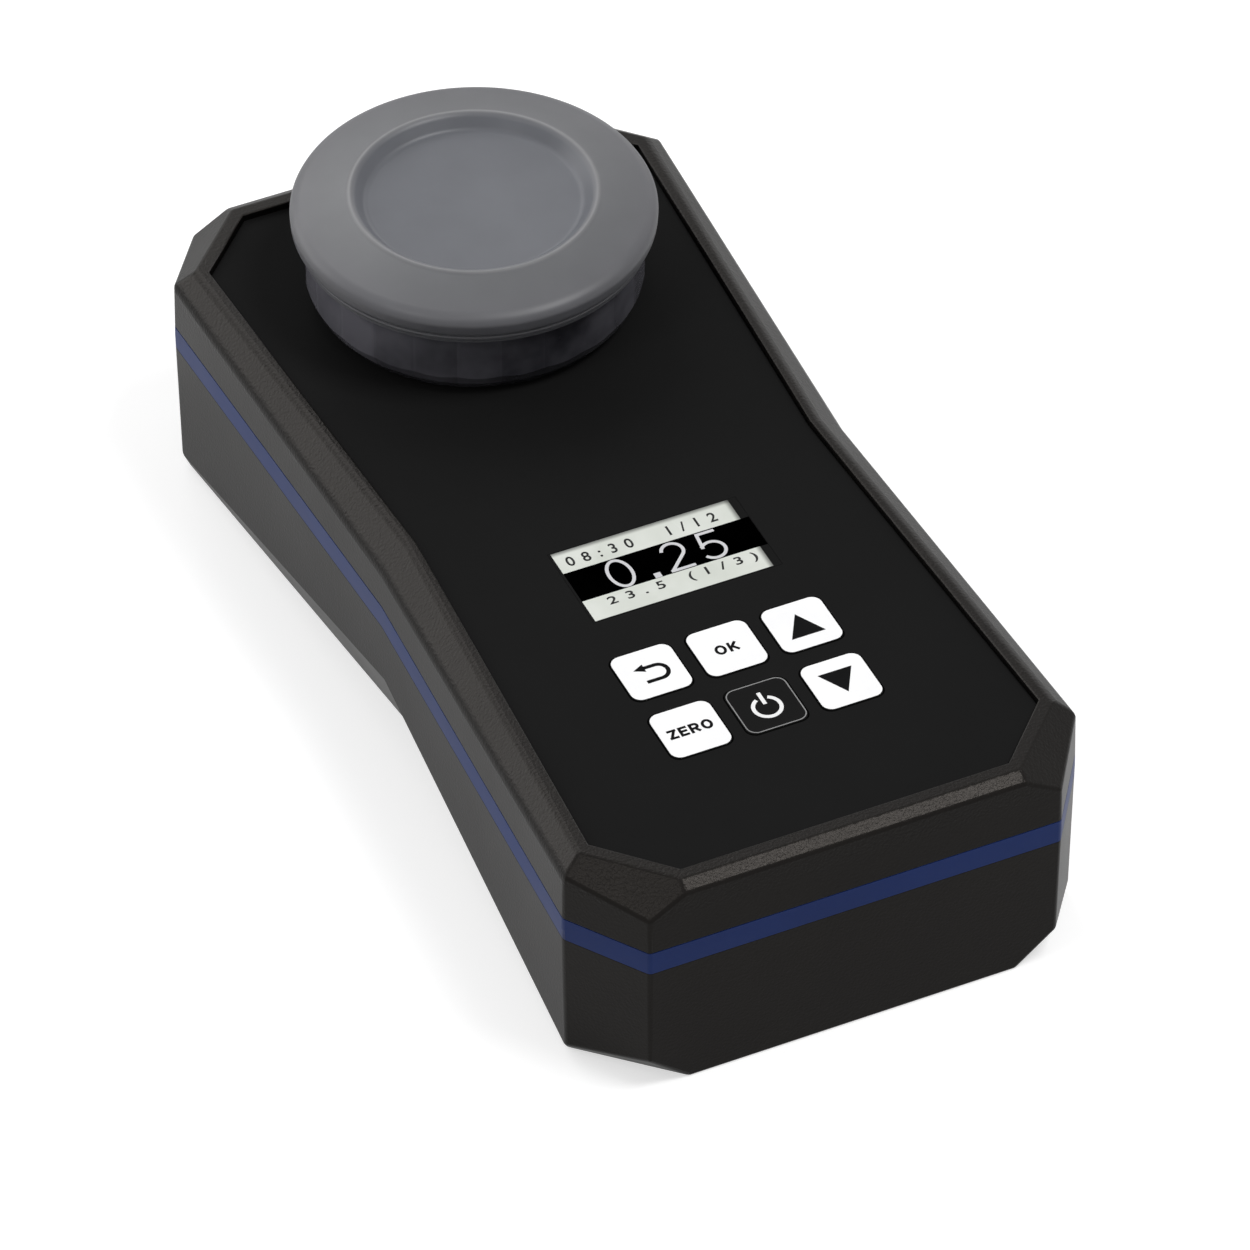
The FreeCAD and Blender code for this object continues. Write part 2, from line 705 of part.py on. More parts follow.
# Front
def make_front_panel():
    """Panel in the recess, cut out for the keys, the display window and the collar."""
    body = new_body("front_panel")
    outline = new_sketch(body, "XY_Plane", "panel_bottom")
    draw_outline(outline, recess_corners("fit_gap"))
    pad(body, outline, "panel_thickness")
    windows = new_sketch(body, "XY_Plane", "panel_top")
    for _, x, y in key_places():
        draw_rounded_rectangle(windows, "key_width + 2 * key_gap", "key_length + 2 * key_gap",
                               "key_corner + key_gap", x, y)
    draw_rectangle(windows, "window_width + fit_gap", "window_length + fit_gap", "0", "display_y")
    draw_circle(windows, "collar_spigot_radius + 2 * fit_gap", "0", "well_y")
    pocket(body, windows, "2 * panel_thickness")
    return body


def make_key(label, x, y):
    """Key with a face, a lip under the panel and a stem down to its dome."""
    body = new_body(label, x, y)
    face = new_sketch(body, "XY_Plane", "key_lip_top")
    draw_rounded_rectangle(face, "key_width", "key_length", "key_corner")
    pad(body, face, "panel_top + key_proud - key_lip_top", "face")
    lip = new_sketch(body, "XY_Plane", "key_lip_bottom")
    draw_rounded_rectangle(lip, "key_width + 2 * key_lip", "key_length + 2 * key_lip",
                           "key_corner + key_lip")
    pad(body, lip, "key_lip_thickness", "lip")
    stem = new_sketch(body, "XY_Plane", "key_stem_bottom")
    draw_circle(stem, "key_stem_radius")
    pad(body, stem, "key_lip_bottom - key_stem_bottom", "stem")
    return body


def make_keypad_mat():
    """Silicone mat on the main board with a dome under each key."""
    body = new_body("keypad_mat")
    sheet_outline = new_sketch(body, "XY_Plane", "board_top")
    draw_rounded_rectangle(sheet_outline, "key_field_width - 1", "key_field_length - 1", "key_corner",
                           "0", "key_centre_y")
    pad(body, sheet_outline, "mat_thickness", "sheet")
    domes = new_sketch(body, "XY_Plane", "mat_top")
    for _, x, y in key_places():
        draw_circle(domes, "dome_radius", x, y)
    pad(body, domes, "dome_height", "domes")
    return body


def make_display():
    """Clear window in the panel, display glass under it and the backlight on the board."""
    window = plate("display_window", "window_width", "window_length", "panel_bottom",
                   "panel_thickness", "0", "display_y")
    glass = plate("display_glass", "display_glass_width", "display_glass_length", "glass_bottom",
                  "display_glass_thickness", "0", "display_y")
    light = plate("display_backlight", "display_glass_width", "display_glass_length", "board_top",
                  "glass_bottom - board_top", "0", "display_y")
    return [window, glass, light]


# Electronics
def make_main_board():
    """Main board with a round notch for the optics block."""
    body = new_body("main_board")
    outline = new_sketch(body, "XY_Plane", "board_bottom")
    half, narrow = "board_half_width", "board_half_width - board_corner_cut"
    near, cut_y = "board_near_y", "board_near_y + board_corner_cut"
    draw_outline(outline, [("-(%s)" % narrow, near), (narrow, near), (half, cut_y), (half, "board_end_y"),
                           ("-(%s)" % half, "board_end_y"), ("-(%s)" % half, cut_y)])
    pad(body, outline, "board_thickness")
    notch = cylinder("board_notch", "flange_room + 4 * fit_gap", "board_bottom - 1",
                     "board_thickness + 2", "0", "well_y")
    gap = box("board_gap", "2 * (flange_room + 4 * fit_gap)", "4 * board_far_reach", "board_thickness + 2",
              "0", "well_y + 2 * board_far_reach", "board_bottom - 1")
    holes = []
    for across in (-1, 1):
        for end in ("board_screw_near_y", "board_screw_far_y"):
            holes.append(cylinder("board_hole", "board_screw_radius + screw_play", "board_bottom - 1",
                                  "board_thickness + 2", "%d * board_screw_x" % across, end))
    body.Label = "main_board_blank"
    return cut("main_board", body, [notch, gap] + holes)


def make_board_parts():
    """Chips and the battery connector on the main board, and the leads from the holder."""
    chip = plate("processor_chip", "10", "10", "board_bottom - 1.4", "1.4", "-10", "well_y - 38.9")
    radio = plate("radio_module", "13", "18", "board_bottom - 2.4", "2.4", "12", "well_y - 39.4")
    plug_y = "battery_y + battery_span / 2 - 4"
    plug_height = "4.5"
    plug = plate("battery_connector", "8", "5", "board_bottom - " + plug_height, plug_height, "0", plug_y)
    leads = []
    for across in (-1, 1):
        leads.append(cylinder("battery_lead", "0.6", "holder_top",
                              "board_bottom - %s - holder_top" % plug_height,
                              "%d * 2" % across, plug_y))
    return [chip, radio, plug, group("battery_leads", leads)]


def make_side_boards():
    """Upright boards beside the optics block, and the headers that join them to the main board."""
    height = "board_bottom - side_board_low"
    boards = []
    headers = []
    for label, across in (("emitter_board", -1), ("sensor_board", 1)):
        boards.append(plate(label, "board_thickness", "side_board_width", "side_board_low", height,
                            "%d * (side_board_x + board_thickness / 2)" % across, "well_y"))
        headers.append(box("board_header", "header_section", "header_length", "header_section",
                           "%d * (side_board_x - header_section / 2)" % across, "well_y",
                           "board_bottom - header_section"))
    return boards + [group("board_headers", headers)]


def make_lamps():
    """Three light emitters on one side of the cuvette and three photodiodes on the other."""
    lamps = []
    for row, (emitter, diode) in enumerate((("red_emitter", "red_photodiode"),
                                            ("yellow_emitter", "yellow_photodiode"),
                                            ("green_emitter", "green_photodiode"))):
        height = "beam_low + %d * beam_step" % row
        for label, across in ((emitter, -1), (diode, 1)):
            body = new_body(label, "%d * side_board_x" % across, "well_y")
            bind(body, "Placement.Base.z", height)
            revolve(body, [("0", "0"), ("lamp_flange_radius", "0"), ("lamp_flange_radius", "lamp_flange"),
                           ("lamp_radius", "lamp_flange"), ("lamp_radius", "lamp_length - lamp_radius"),
                           ("lamp_radius * 0.8", "lamp_length - lamp_radius * 0.4"),
                           ("lamp_radius * 0.45", "lamp_length - lamp_radius * 0.1"),
                           ("0", "lamp_length")])
            body.Placement.Rotation = FreeCAD.Rotation(FreeCAD.Vector(0, 1, 0), -90 * across)
            lamps.append(body)
    return lamps


# Measuring well
def make_optics_block():
    """Round block that hangs from the deck, bored for the cuvette and for three light paths."""
    flange = cylinder("block_flange_disc", "block_flange_radius", "block_flange_top - block_flange",
                      "block_flange", "0", "well_y")
    barrel = cylinder("block_barrel", "cuvette_flange_radius", "block_bottom",
                      "block_neck_top - block_bottom", "0", "well_y")
    arm = box("block_arm", "2 * block_arm_length", "block_arm_width", "block_arm_high - block_arm_low",
              "0", "well_y", "block_arm_low")
    tools = [cylinder("block_bore_space", "block_bore", "block_bottom - 1", "housing_height", "0",
                      "well_y")]
    for row in range(3):
        height = "beam_low + %d * beam_step" % row
        tools.append(rod_along_x("beam_path", "beam_radius", "-block_arm_length - 1",
                                 "2 * block_arm_length + 2", "well_y", height))
        socket = "lamp_radius + fit_gap / 2"
        depth = "lamp_length - lamp_flange - (side_board_x - block_arm_length - lamp_flange) + fit_gap"
        tools.append(rod_along_x("emitter_socket", socket, "-block_arm_length - 1", "1 + " + depth,
                                 "well_y", height))
        tools.append(rod_along_x("diode_socket", socket, "block_arm_length - (%s)" % depth, "1 + " + depth,
                                 "well_y", height))
    for across, along in signs():
        x = "%d * optics_screw_circle * cos(45)" % across
        y = "well_y + %d * optics_screw_circle * sin(45)" % along
        tools.append(cylinder("block_hole", "optics_screw_radius + screw_play",
                              "block_flange_top - block_flange - 1", "block_flange + 2", x, y))
        tools.append(cylinder("block_head_hole", "optics_screw_head_radius + fit_gap",
                              "block_flange_top - block_flange - 1", "block_flange / 2 + 1", x, y))
    return cut("optics_block", join("block_solid", [flange, barrel, arm]), tools)


def make_cuvette():
    """Clear cup with a flange that seats on the optics block."""
    body = new_body("cuvette", "0", "well_y")
    revolve(body, [("0", "cuvette_bottom"), ("cuvette_outer", "cuvette_bottom"),
                   ("cuvette_outer", "block_neck_top"), ("cuvette_flange_radius", "block_neck_top"),
                   ("cuvette_flange_radius", "cuvette_flange_top"), ("cuvette_bore", "cuvette_flange_top"),
                   ("cuvette_bore", "cuvette_bottom + cuvette_wall"),
                   ("0", "cuvette_bottom + cuvette_wall")])
    return body


def make_cuvette_seal():
    """O-ring between the cuvette's flange and the collar."""
    item = doc.addObject("Part::Torus", "cuvette_seal")
    item.Label = "cuvette_seal"
    bind(item, "Radius1", "cuvette_seal_radius")
    bind(item, "Radius2", "cuvette_seal_section")
    bind(item, "Placement.Base.y", "well_y")
    bind(item, "Placement.Base.z", "cuvette_flange_top + cuvette_seal_section")
    return item


def make_collar():
    """Faceted collar whose spigot passes through the panel and deck and clamps the cuvette."""
    body = new_body("collar_turned", "0", "well_y")
    outer, foot = "collar_radius", "collar_radius - collar_foot_inset"
    throat = "cuvette_bore + 0.5"
    revolve(body, [("collar_spigot_radius", "deck_bottom"), ("collar_spigot_radius", "panel_top"),
                   (foot, "panel_top"), (outer + " - 0.7", "panel_top + collar_foot * 0.75"),
                   (outer, "panel_top + collar_foot * 1.4"), (outer, "collar_top"),
                   ("collar_bore", "collar_top"), ("collar_bore", "collar_floor + 1.6"),
                   (throat, "collar_floor"), (throat, "cuvette_seal_top"),
                   ("flange_room", "cuvette_seal_top"), ("flange_room", "deck_bottom")])
    round_edges(body, "0.5", ring_at(outer, "collar_top"))
    facets = doc.addObject("Part::Prism", "collar_facets_space")
    facets.Polygon = int(number("collar_facets"))
    bind(facets, "Circumradius", "collar_radius + fit_gap / 2")
    bind(facets, "Height", "2 * housing_height")
    bind(facets, "Placement.Base.y", "well_y")
    item = doc.addObject("Part::Common", "cuvette_collar")
    item.Label = "cuvette_collar"
    item.Base = body
    item.Tool = facets
    return item


def make_light_cap():
    """Silicone cap with a rounded rim, a shallow dish on top and a plug that fits the collar."""
    body = new_body("light_cap", "0", "well_y")
    plug, plug_bore = "cap_plug_radius", "cap_plug_radius - cap_plug_wall"
    skirt = "cap_skirt_bore + cap_skirt_wall"
    under = [("0", "cap_seat"), (plug_bore, "cap_seat"), (plug_bore, "cap_seat - cap_plug_depth"),
             (plug, "cap_seat - cap_plug_depth"), (plug, "cap_seat"), ("cap_skirt_bore", "cap_seat"),
             ("cap_skirt_bore", "cap_seat - cap_skirt_depth"), (skirt, "cap_seat - cap_skirt_depth"),
             (skirt, "cap_seat + 0.1"), (skirt + " - 0.35", "cap_seat + 0.4"),
             ("cap_radius - 0.8", "cap_seat + 0.6"), ("cap_radius - 0.35", "cap_seat + 1.1"),
             ("cap_radius - 0.08", "cap_seat + 1.8")]
    shoulder = []
    for step in range(7):
        angle = math.radians(15 * step)
        across = "cap_radius - %.6f * cap_shoulder_width" % (1 - math.cos(angle))
        rise = "cap_seat + 2.4 + %.6f * cap_shoulder_height" % math.sin(angle)
        shoulder.append((across, rise))
    top = [("cap_ring_radius + 0.4", "cap_top - 0.02"), ("cap_ring_radius", "cap_top"),
           ("cap_ring_radius - 0.3", "cap_top - 0.1"), ("cap_dish_radius", "cap_top - cap_dish_depth"),
           ("0", "cap_top - cap_dish_depth")]
    revolve(body, under + shoulder + top)
    return body


# Batteries
def battery_places():
    """Names, X places and directions of the three batteries."""
    return [("battery_left", "-battery_pitch", 1), ("battery_middle", "0", -1),
            ("battery_right", "battery_pitch", 1)]


def make_batteries():
    """Three cells side by side, the middle one turned round."""
    cells = []
    for label, x, way in battery_places():
        body = new_body(label, x, "battery_y - %d * (battery_length / 2 - battery_shift)" % way)
        bind(body, "Placement.Base.z", "battery_height")
        revolve(body, [("0", "0"), ("battery_radius", "0"), ("battery_radius", "battery_length - 1"),
                       ("1.9", "battery_length - 1"), ("1.9", "battery_length"), ("0", "battery_length")])
        body.Placement.Rotation = FreeCAD.Rotation(FreeCAD.Vector(1, 0, 0), -90 * way)
        cells.append(body)
    return cells


def make_battery_holder():
    """Box over the bay, open towards the door, that carries the contacts."""
    shell = box("holder_shell", "bay_width + 2 * holder_wall", "battery_span + 2 * holder_wall",
                "holder_height + holder_wall", "0", "battery_y", "holder_bottom")
    space = box("holder_space", "bay_width", "battery_span", "holder_height + 1", "0", "battery_y",
                "holder_bottom - 1")
    return cut("battery_holder", shell, [space])


def make_contacts():
    """Flat contacts at the plus ends, and bent leaf springs at the minus ends."""
    contacts, springs = [], []
    low = "battery_height - contact_height / 2"
    for label, x, way in battery_places():
        plus_y = "battery_y + %d * (battery_span / 2 - contact_thickness / 2)" % way
        contacts.append(box(label + "_contact", "contact_width", "contact_thickness", "contact_height", x,
                            plus_y, low))
        body = new_body(label + "_spring", x, "battery_y - %d * (battery_span / 2)" % way)
        bind(body, "Placement.Base.z", low)
        sketch = new_sketch(body, "YZ_Plane", "-contact_width / 2")
        reach = "(battery_play / 2 + battery_shift - fit_gap / 2)"
        back, front = "0", "%d * contact_thickness" % way
        tip, tip_back = "%d * %s" % (way, reach), "%d * (%s - contact_thickness)" % (way, reach)
        draw_outline(sketch, [(back, "0"), (front, "0"), (front, "contact_height - 1.5"),
                              (tip_back, "contact_height * 0.5"), (tip_back, "0.6"), (tip, "0.6"),
                              (tip, "contact_height * 0.55"), (front, "contact_height"),
                              (back, "contact_height")])
        pad(body, sketch, "contact_width")
        springs.append(body)
    return [group("battery_contacts", contacts), group("battery_springs", springs)]


def make_battery_door():
    """Door flush with the base, with its flat seal."""
    width, length = "door_recess_width - 2 * door_gap", "door_recess_length - 2 * door_gap"
    door = plate("door_plate", width, length, "0", "door_thickness", "0", "battery_y", "1")
    ribs = []
    for along in (-1, 1):
        ribs.append(box("door_rib", "bay_width - 4 * fit_gap", "door_rib_width",
                        "battery_height - battery_radius - 2 * fit_gap - door_thickness / 2", "0",
                        "battery_y + %d * door_rib_place" % along, "door_thickness / 2"))
    holes = []
    for across, along in signs():
        x, y = "%d * door_screw_x" % across, "battery_y + %d * door_screw_y" % along
        holes.append(cylinder("door_hole", "door_screw_radius + fit_gap / 2", "-1", "door_thickness + 2",
                              x, y))
        holes.append(cylinder("door_head_hole", "door_screw_head_radius + fit_gap", "-1",
                              "1 + door_screw_head + fit_gap", x, y))
    seal = plate("door_seal_sheet", "bay_width + 2 * door_seal_width", "battery_span + 2 * door_seal_width",
                 "door_thickness", "door_seal_thickness", "0", "battery_y", "1.5")
    middle = box("door_seal_middle", "bay_width + fit_gap", "battery_span + fit_gap",
                 "4 * door_seal_thickness", "0", "battery_y", "door_thickness - door_seal_thickness")
    return [cut("battery_door", join("door_with_ribs", [door] + ribs), holes),
            cut("battery_door_seal", seal, [middle])]


def make_keys():
    """The six keys."""
    return [make_key(label, x, y) for label, x, y in key_places()]


def all_parts():
    """Build every sub-part in the order of the assembly."""
    parts = [make_upper_shell(), make_lower_shell(), make_housing_seal(), make_front_panel()]
    parts += make_display()
    parts += make_keys()
    parts += [make_keypad_mat(), make_main_board()]
    parts += make_board_parts()
    parts += make_side_boards()
    parts += make_lamps()
    parts += [make_optics_block(), make_cuvette(), make_cuvette_seal(), make_collar(), make_light_cap()]
    parts += make_batteries()
    parts += [make_battery_holder()]
    parts += make_contacts()
    parts += make_battery_door()
    parts += make_screws()
    return parts


def main():
    """Build the document, check every object and write one file for each sub-part."""
    parts = all_parts()
    doc.recompute()
    for item in doc.Objects:
        if "Invalid" in item.State or "Error" in item.State:
            raise RuntimeError("%s failed" % item.Label)
    for item in parts:
        if item.Shape.isNull() or not item.Shape.isValid():
            raise RuntimeError("%s has no sound shape" % item.Label)
    os.makedirs("parts", exist_ok=True)
    for item in parts:
        item.Shape.exportStep("parts/%s.step" % item.Label)
    print("wrote", len(parts), "parts")


main()
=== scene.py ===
"""Looks of a handheld photometer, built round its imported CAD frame.

Sizes are written in millimetres and turned to metres where a mesh, lamp or camera is made. The axes are
the CAD frame's: X across, Y from the keys towards the measuring well, Z up from the base.
"""

from __future__ import annotations

import json
import logging
import math
from dataclasses import dataclass, replace
from enum import Enum

import bmesh
import bpy
import numpy as np
from mathutils import Matrix, Vector
from mathutils.bvhtree import BVHTree

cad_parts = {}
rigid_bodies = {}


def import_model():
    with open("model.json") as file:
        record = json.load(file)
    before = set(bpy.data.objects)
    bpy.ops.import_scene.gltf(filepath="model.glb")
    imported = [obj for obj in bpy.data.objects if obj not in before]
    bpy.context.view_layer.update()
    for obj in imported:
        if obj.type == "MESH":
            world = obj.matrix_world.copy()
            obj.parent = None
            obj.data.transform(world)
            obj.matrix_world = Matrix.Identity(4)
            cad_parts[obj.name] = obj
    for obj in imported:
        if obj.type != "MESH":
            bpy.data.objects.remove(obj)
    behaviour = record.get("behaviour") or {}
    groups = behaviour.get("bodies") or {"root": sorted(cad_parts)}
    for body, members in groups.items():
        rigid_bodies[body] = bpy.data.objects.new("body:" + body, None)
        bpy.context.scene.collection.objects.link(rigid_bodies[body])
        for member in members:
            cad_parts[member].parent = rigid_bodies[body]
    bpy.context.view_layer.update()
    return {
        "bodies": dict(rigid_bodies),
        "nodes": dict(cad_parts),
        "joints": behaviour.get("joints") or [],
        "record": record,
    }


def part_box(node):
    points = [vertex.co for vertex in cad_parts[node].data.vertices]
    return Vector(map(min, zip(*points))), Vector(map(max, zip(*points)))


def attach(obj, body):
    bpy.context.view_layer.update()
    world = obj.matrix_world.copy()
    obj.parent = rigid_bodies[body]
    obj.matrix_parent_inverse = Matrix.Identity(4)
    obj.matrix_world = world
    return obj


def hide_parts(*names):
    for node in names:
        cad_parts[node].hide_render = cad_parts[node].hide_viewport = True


LOG = logging.getLogger("photometer")
MM = 0.001
# Bodies that carry new pieces, beside the six keys
HOUSING = "housing"
CAP = "cap"
# Axis of the well, the collar and the cap along Y, in millimetres
WELL_Y = 46.9
# Far and right-hand edges of the display's light fields, in millimetres
FIELD_FAR = -9.15
FIELD_RIGHT = 12.95
# Noise lies almost wholly between these two values
NOISE_LOW = 0.3
NOISE_HIGH = 0.7
# Metres within which two points of a CAD node are one
WELD = 1e-6
# Metres by which a ray starts clear of its own face
RAY_GAP = 1e-5
# Angle in degrees up to which neighbouring triangles make one flat face
FLAT_DEG = 0.4
# Millimetres by which each stroke of a letter lies above the one before
STROKE_STEP = 0.001


def linear(code: str) -> tuple[float, float, float, float]:
    """Turn an sRGB hex colour into the linear colour that a shader takes.

    Args:
        code: colour such as "#1c1c1c".

    Returns:
        Red, green, blue and an alpha of one.
    """
    values = np.array([int(code[place:place + 2], 16) for place in (1, 3, 5)]) / 255
    bright = ((values + 0.055) / 1.055) ** 2.4
    red, green, blue = np.where(values <= 0.04045, values / 12.92, bright)
    return float(red), float(green), float(blue), 1.0


def add_node(
    tree: bpy.types.NodeTree,
    kind: str,
    settings: dict[str, object] | None = None,
    inputs: dict[str | int, object] | None = None,
) -> bpy.types.Node:
    """Add one shader node with its settings, and give each named input a value or a link.

    Args:
        tree: node tree that takes the node.
        kind: Blender's name of the node type.
        settings: node properties by name.
        inputs: numbers, colours or output sockets by input name or number.

    Returns:
        The new node.
    """
    node = tree.nodes.new(kind)
    for name, value in (settings or {}).items():
        setattr(node, name, value)
    for name, value in (inputs or {}).items():
        if isinstance(value, bpy.types.NodeSocket):
            tree.links.new(value, node.inputs[name])
        else:
            node.inputs[name].default_value = value
    return node


@dataclass(frozen=True)
class Finish:
    """A surface as it is made: its colour, a second colour it drifts to, its gloss and its grain."""

    title: str
    colour: str
    drift: str
    roughness: float
    roughness_spread: float = 0.05
    ior: float = 1.5
    specular: float = 0.5
    tint: str = "#ffffff"
    metallic: float = 0.0
    coat: float = 0.0
    coat_roughness: float = 0.05
    transmission: float = 0.0
    subsurface: float = 0.0
    subsurface_mm: float = 1.2
    drift_mm: float = 6.0
    # Noise values at which the first colour ends and the second begins
    drift_from: float = 0.35
    drift_to: float = 0.65
    # How much wider the patches of gloss are than those of colour
    smear: float = 2.3
    grain_mm: float = 0.5
    grain_height_mm: float = 0.0

    def colour_output(self, tree: bpy.types.NodeTree, place: bpy.types.NodeSocket) -> bpy.types.NodeSocket:
        """Colour that drifts softly between the two colours of the finish.

        Args:
            tree: node tree of the material.
            place: object coordinates.

        Returns:
            The socket that carries the colour.
        """
        cloud = add_node(tree, "ShaderNodeTexNoise", {}, {
            "Vector": place, "Scale": 1 / (self.drift_mm * MM), "Detail": 3.0, "Roughness": 0.6})
        ramp = add_node(tree, "ShaderNodeValToRGB", {}, {"Fac": cloud.outputs["Fac"]})
        first, second = ramp.color_ramp.elements
        first.position, second.position = self.drift_from, self.drift_to
        first.color, second.color = linear(self.colour), linear(self.drift)
        return ramp.outputs["Color"]

    def grain_output(self, tree: bpy.types.NodeTree, place: bpy.types.NodeSocket) -> bpy.types.NodeSocket:
        """Height of the grain as a share of its full height.

        Args:
            tree: node tree of the material.
            place: object coordinates.

        Returns:
            The socket that carries the height.
        """
        pits = add_node(tree, "ShaderNodeTexNoise", {}, {
            "Vector": place, "Scale": 1 / (self.grain_mm * MM), "Detail": 2.0, "Roughness": 0.55})
        return pits.outputs["Fac"]

    def build(self) -> bpy.types.Material:
        """Make the node material.

        Returns:
            The finished material.
        """
        material = bpy.data.materials.new(self.title)
        material.use_nodes = True
        tree = material.node_tree
        tree.nodes.clear()
        place = add_node(tree, "ShaderNodeTexCoord").outputs["Object"]
        patches = add_node(tree, "ShaderNodeTexNoise", {}, {
            "Vector": place, "Scale": 1 / (self.smear * self.drift_mm * MM), "Detail": 2.0})
        gloss = add_node(tree, "ShaderNodeMapRange", {}, {
            "Value": patches.outputs["Fac"], "From Min": NOISE_LOW, "From Max": NOISE_HIGH,
            "To Min": self.roughness - self.roughness_spread,
            "To Max": self.roughness + self.roughness_spread})
        inputs = {
            "Base Color": self.colour_output(tree, place),
            "Roughness": gloss.outputs["Result"],
            "IOR": self.ior,
            "Specular IOR Level": self.specular,
            "Specular Tint": linear(self.tint),
            "Metallic": self.metallic,
            "Coat Weight": self.coat,
            "Coat Roughness": self.coat_roughness,
            "Transmission Weight": self.transmission,
        }
        if self.subsurface:
            inputs["Subsurface Weight"] = self.subsurface
            inputs["Subsurface Radius"] = (1.0, 1.0, 1.0)
            inputs["Subsurface Scale"] = self.subsurface_mm * MM
        if self.grain_height_mm:
            bump = add_node(tree, "ShaderNodeBump", {}, {
                "Height": self.grain_output(tree, place), "Strength": 1.0,
                "Distance": self.grain_height_mm * MM})
            inputs["Normal"] = bump.outputs["Normal"]
        shader = add_node(tree, "ShaderNodeBsdfPrincipled", {}, inputs)
        add_node(tree, "ShaderNodeOutputMaterial", {}, {"Surface": shader.outputs["BSDF"]})
        return material


@dataclass(frozen=True)
class ShellFinish(Finish):
    """Moulded plastic whose leathery grain is deep on the shoulders and shallow on the walls below them."""

    wall_top_mm: float = 30.6
    shoulder_mm: float = 31.6
    wall_share: float = 0.45

    def grain_output(self, tree: bpy.types.NodeTree, place: bpy.types.NodeSocket) -> bpy.types.NodeSocket:
        """Grain about its mean, times a share that rises from the wall's to the whole at the shoulder.

        Args:
            tree: node tree of the material.
            place: object coordinates.

        Returns:
            The socket that carries the height.
        """
        centred = add_node(tree, "ShaderNodeMath", {"operation": "SUBTRACT"}, {
            0: super().grain_output(tree, place), 1: 0.5})
        parts = add_node(tree, "ShaderNodeSeparateXYZ", {}, {"Vector": place})
        depth = add_node(tree, "ShaderNodeMapRange", {}, {
            "Value": parts.outputs["Z"], "From Min": self.wall_top_mm * MM, "From Max": self.shoulder_mm * MM,
            "To Min": self.wall_share, "To Max": 1.0})
        grain = add_node(tree, "ShaderNodeMath", {"operation": "MULTIPLY"}, {
            0: centred.outputs["Value"], 1: depth.outputs["Result"]})
        return grain.outputs["Value"]


@dataclass(frozen=True)
class SleeveFinish(Finish):
    """A finish whose first colour gives way to the second at one place along Y, as on a printed sleeve."""

    edge_mm: float = 0.0

    def colour_output(self, tree: bpy.types.NodeTree, place: bpy.types.NodeSocket) -> bpy.types.NodeSocket:
        """First colour on the near side of the edge and the second colour on the far side.

        Args:
            tree: node tree of the material.
            place: object coordinates.

        Returns:
            The socket that carries the colour.
        """
        parts = add_node(tree, "ShaderNodeSeparateXYZ", {}, {"Vector": place})
        beyond = add_node(tree, "ShaderNodeMath", {"operation": "GREATER_THAN"}, {
            0: parts.outputs["Y"], 1: self.edge_mm * MM})
        ramp = add_node(tree, "ShaderNodeValToRGB", {}, {"Fac": beyond.outputs["Value"]})
        near, far = ramp.color_ramp.elements
        near.color, far.color = linear(self.colour), linear(self.drift)
        return ramp.outputs["Color"]


@dataclass(frozen=True)
class LaminateFinish(Finish):
    """Solder mask over copper: straight tracks show as a paler green through the mask."""

    track_mm: float = 1.6
    # Cells across a track's width for each along its length
    stretch: float = 0.12
    # Distance in cells at which a track ends and the bare mask begins
    track_edge: float = 0.28
    mask_edge: float = 0.34

    def colour_output(self, tree: bpy.types.NodeTree, place: bpy.types.NodeSocket) -> bpy.types.NodeSocket:
        """Colour of the mask with bands of tracks, from a stepped cell pattern stretched along Y.

        Args:
            tree: node tree of the material.
            place: object coordinates.

        Returns:
            The socket that carries the colour.
        """
        across = 1 / (self.track_mm * MM)
        grid = add_node(tree, "ShaderNodeMapping", {}, {
            "Vector": place, "Scale": (across, self.stretch * across, 1.0)})
        cells = add_node(tree, "ShaderNodeTexVoronoi", {"distance": "CHEBYCHEV"}, {
            "Vector": grid.outputs["Vector"], "Scale": 1.0, "Randomness": 0.7})
        ramp = add_node(tree, "ShaderNodeValToRGB", {}, {"Fac": cells.outputs["Distance"]})
        track, mask = ramp.color_ramp.elements
        track.position, mask.position = self.track_edge, self.mask_edge
        track.color, mask.color = linear(self.drift), linear(self.colour)
        return ramp.outputs["Color"]


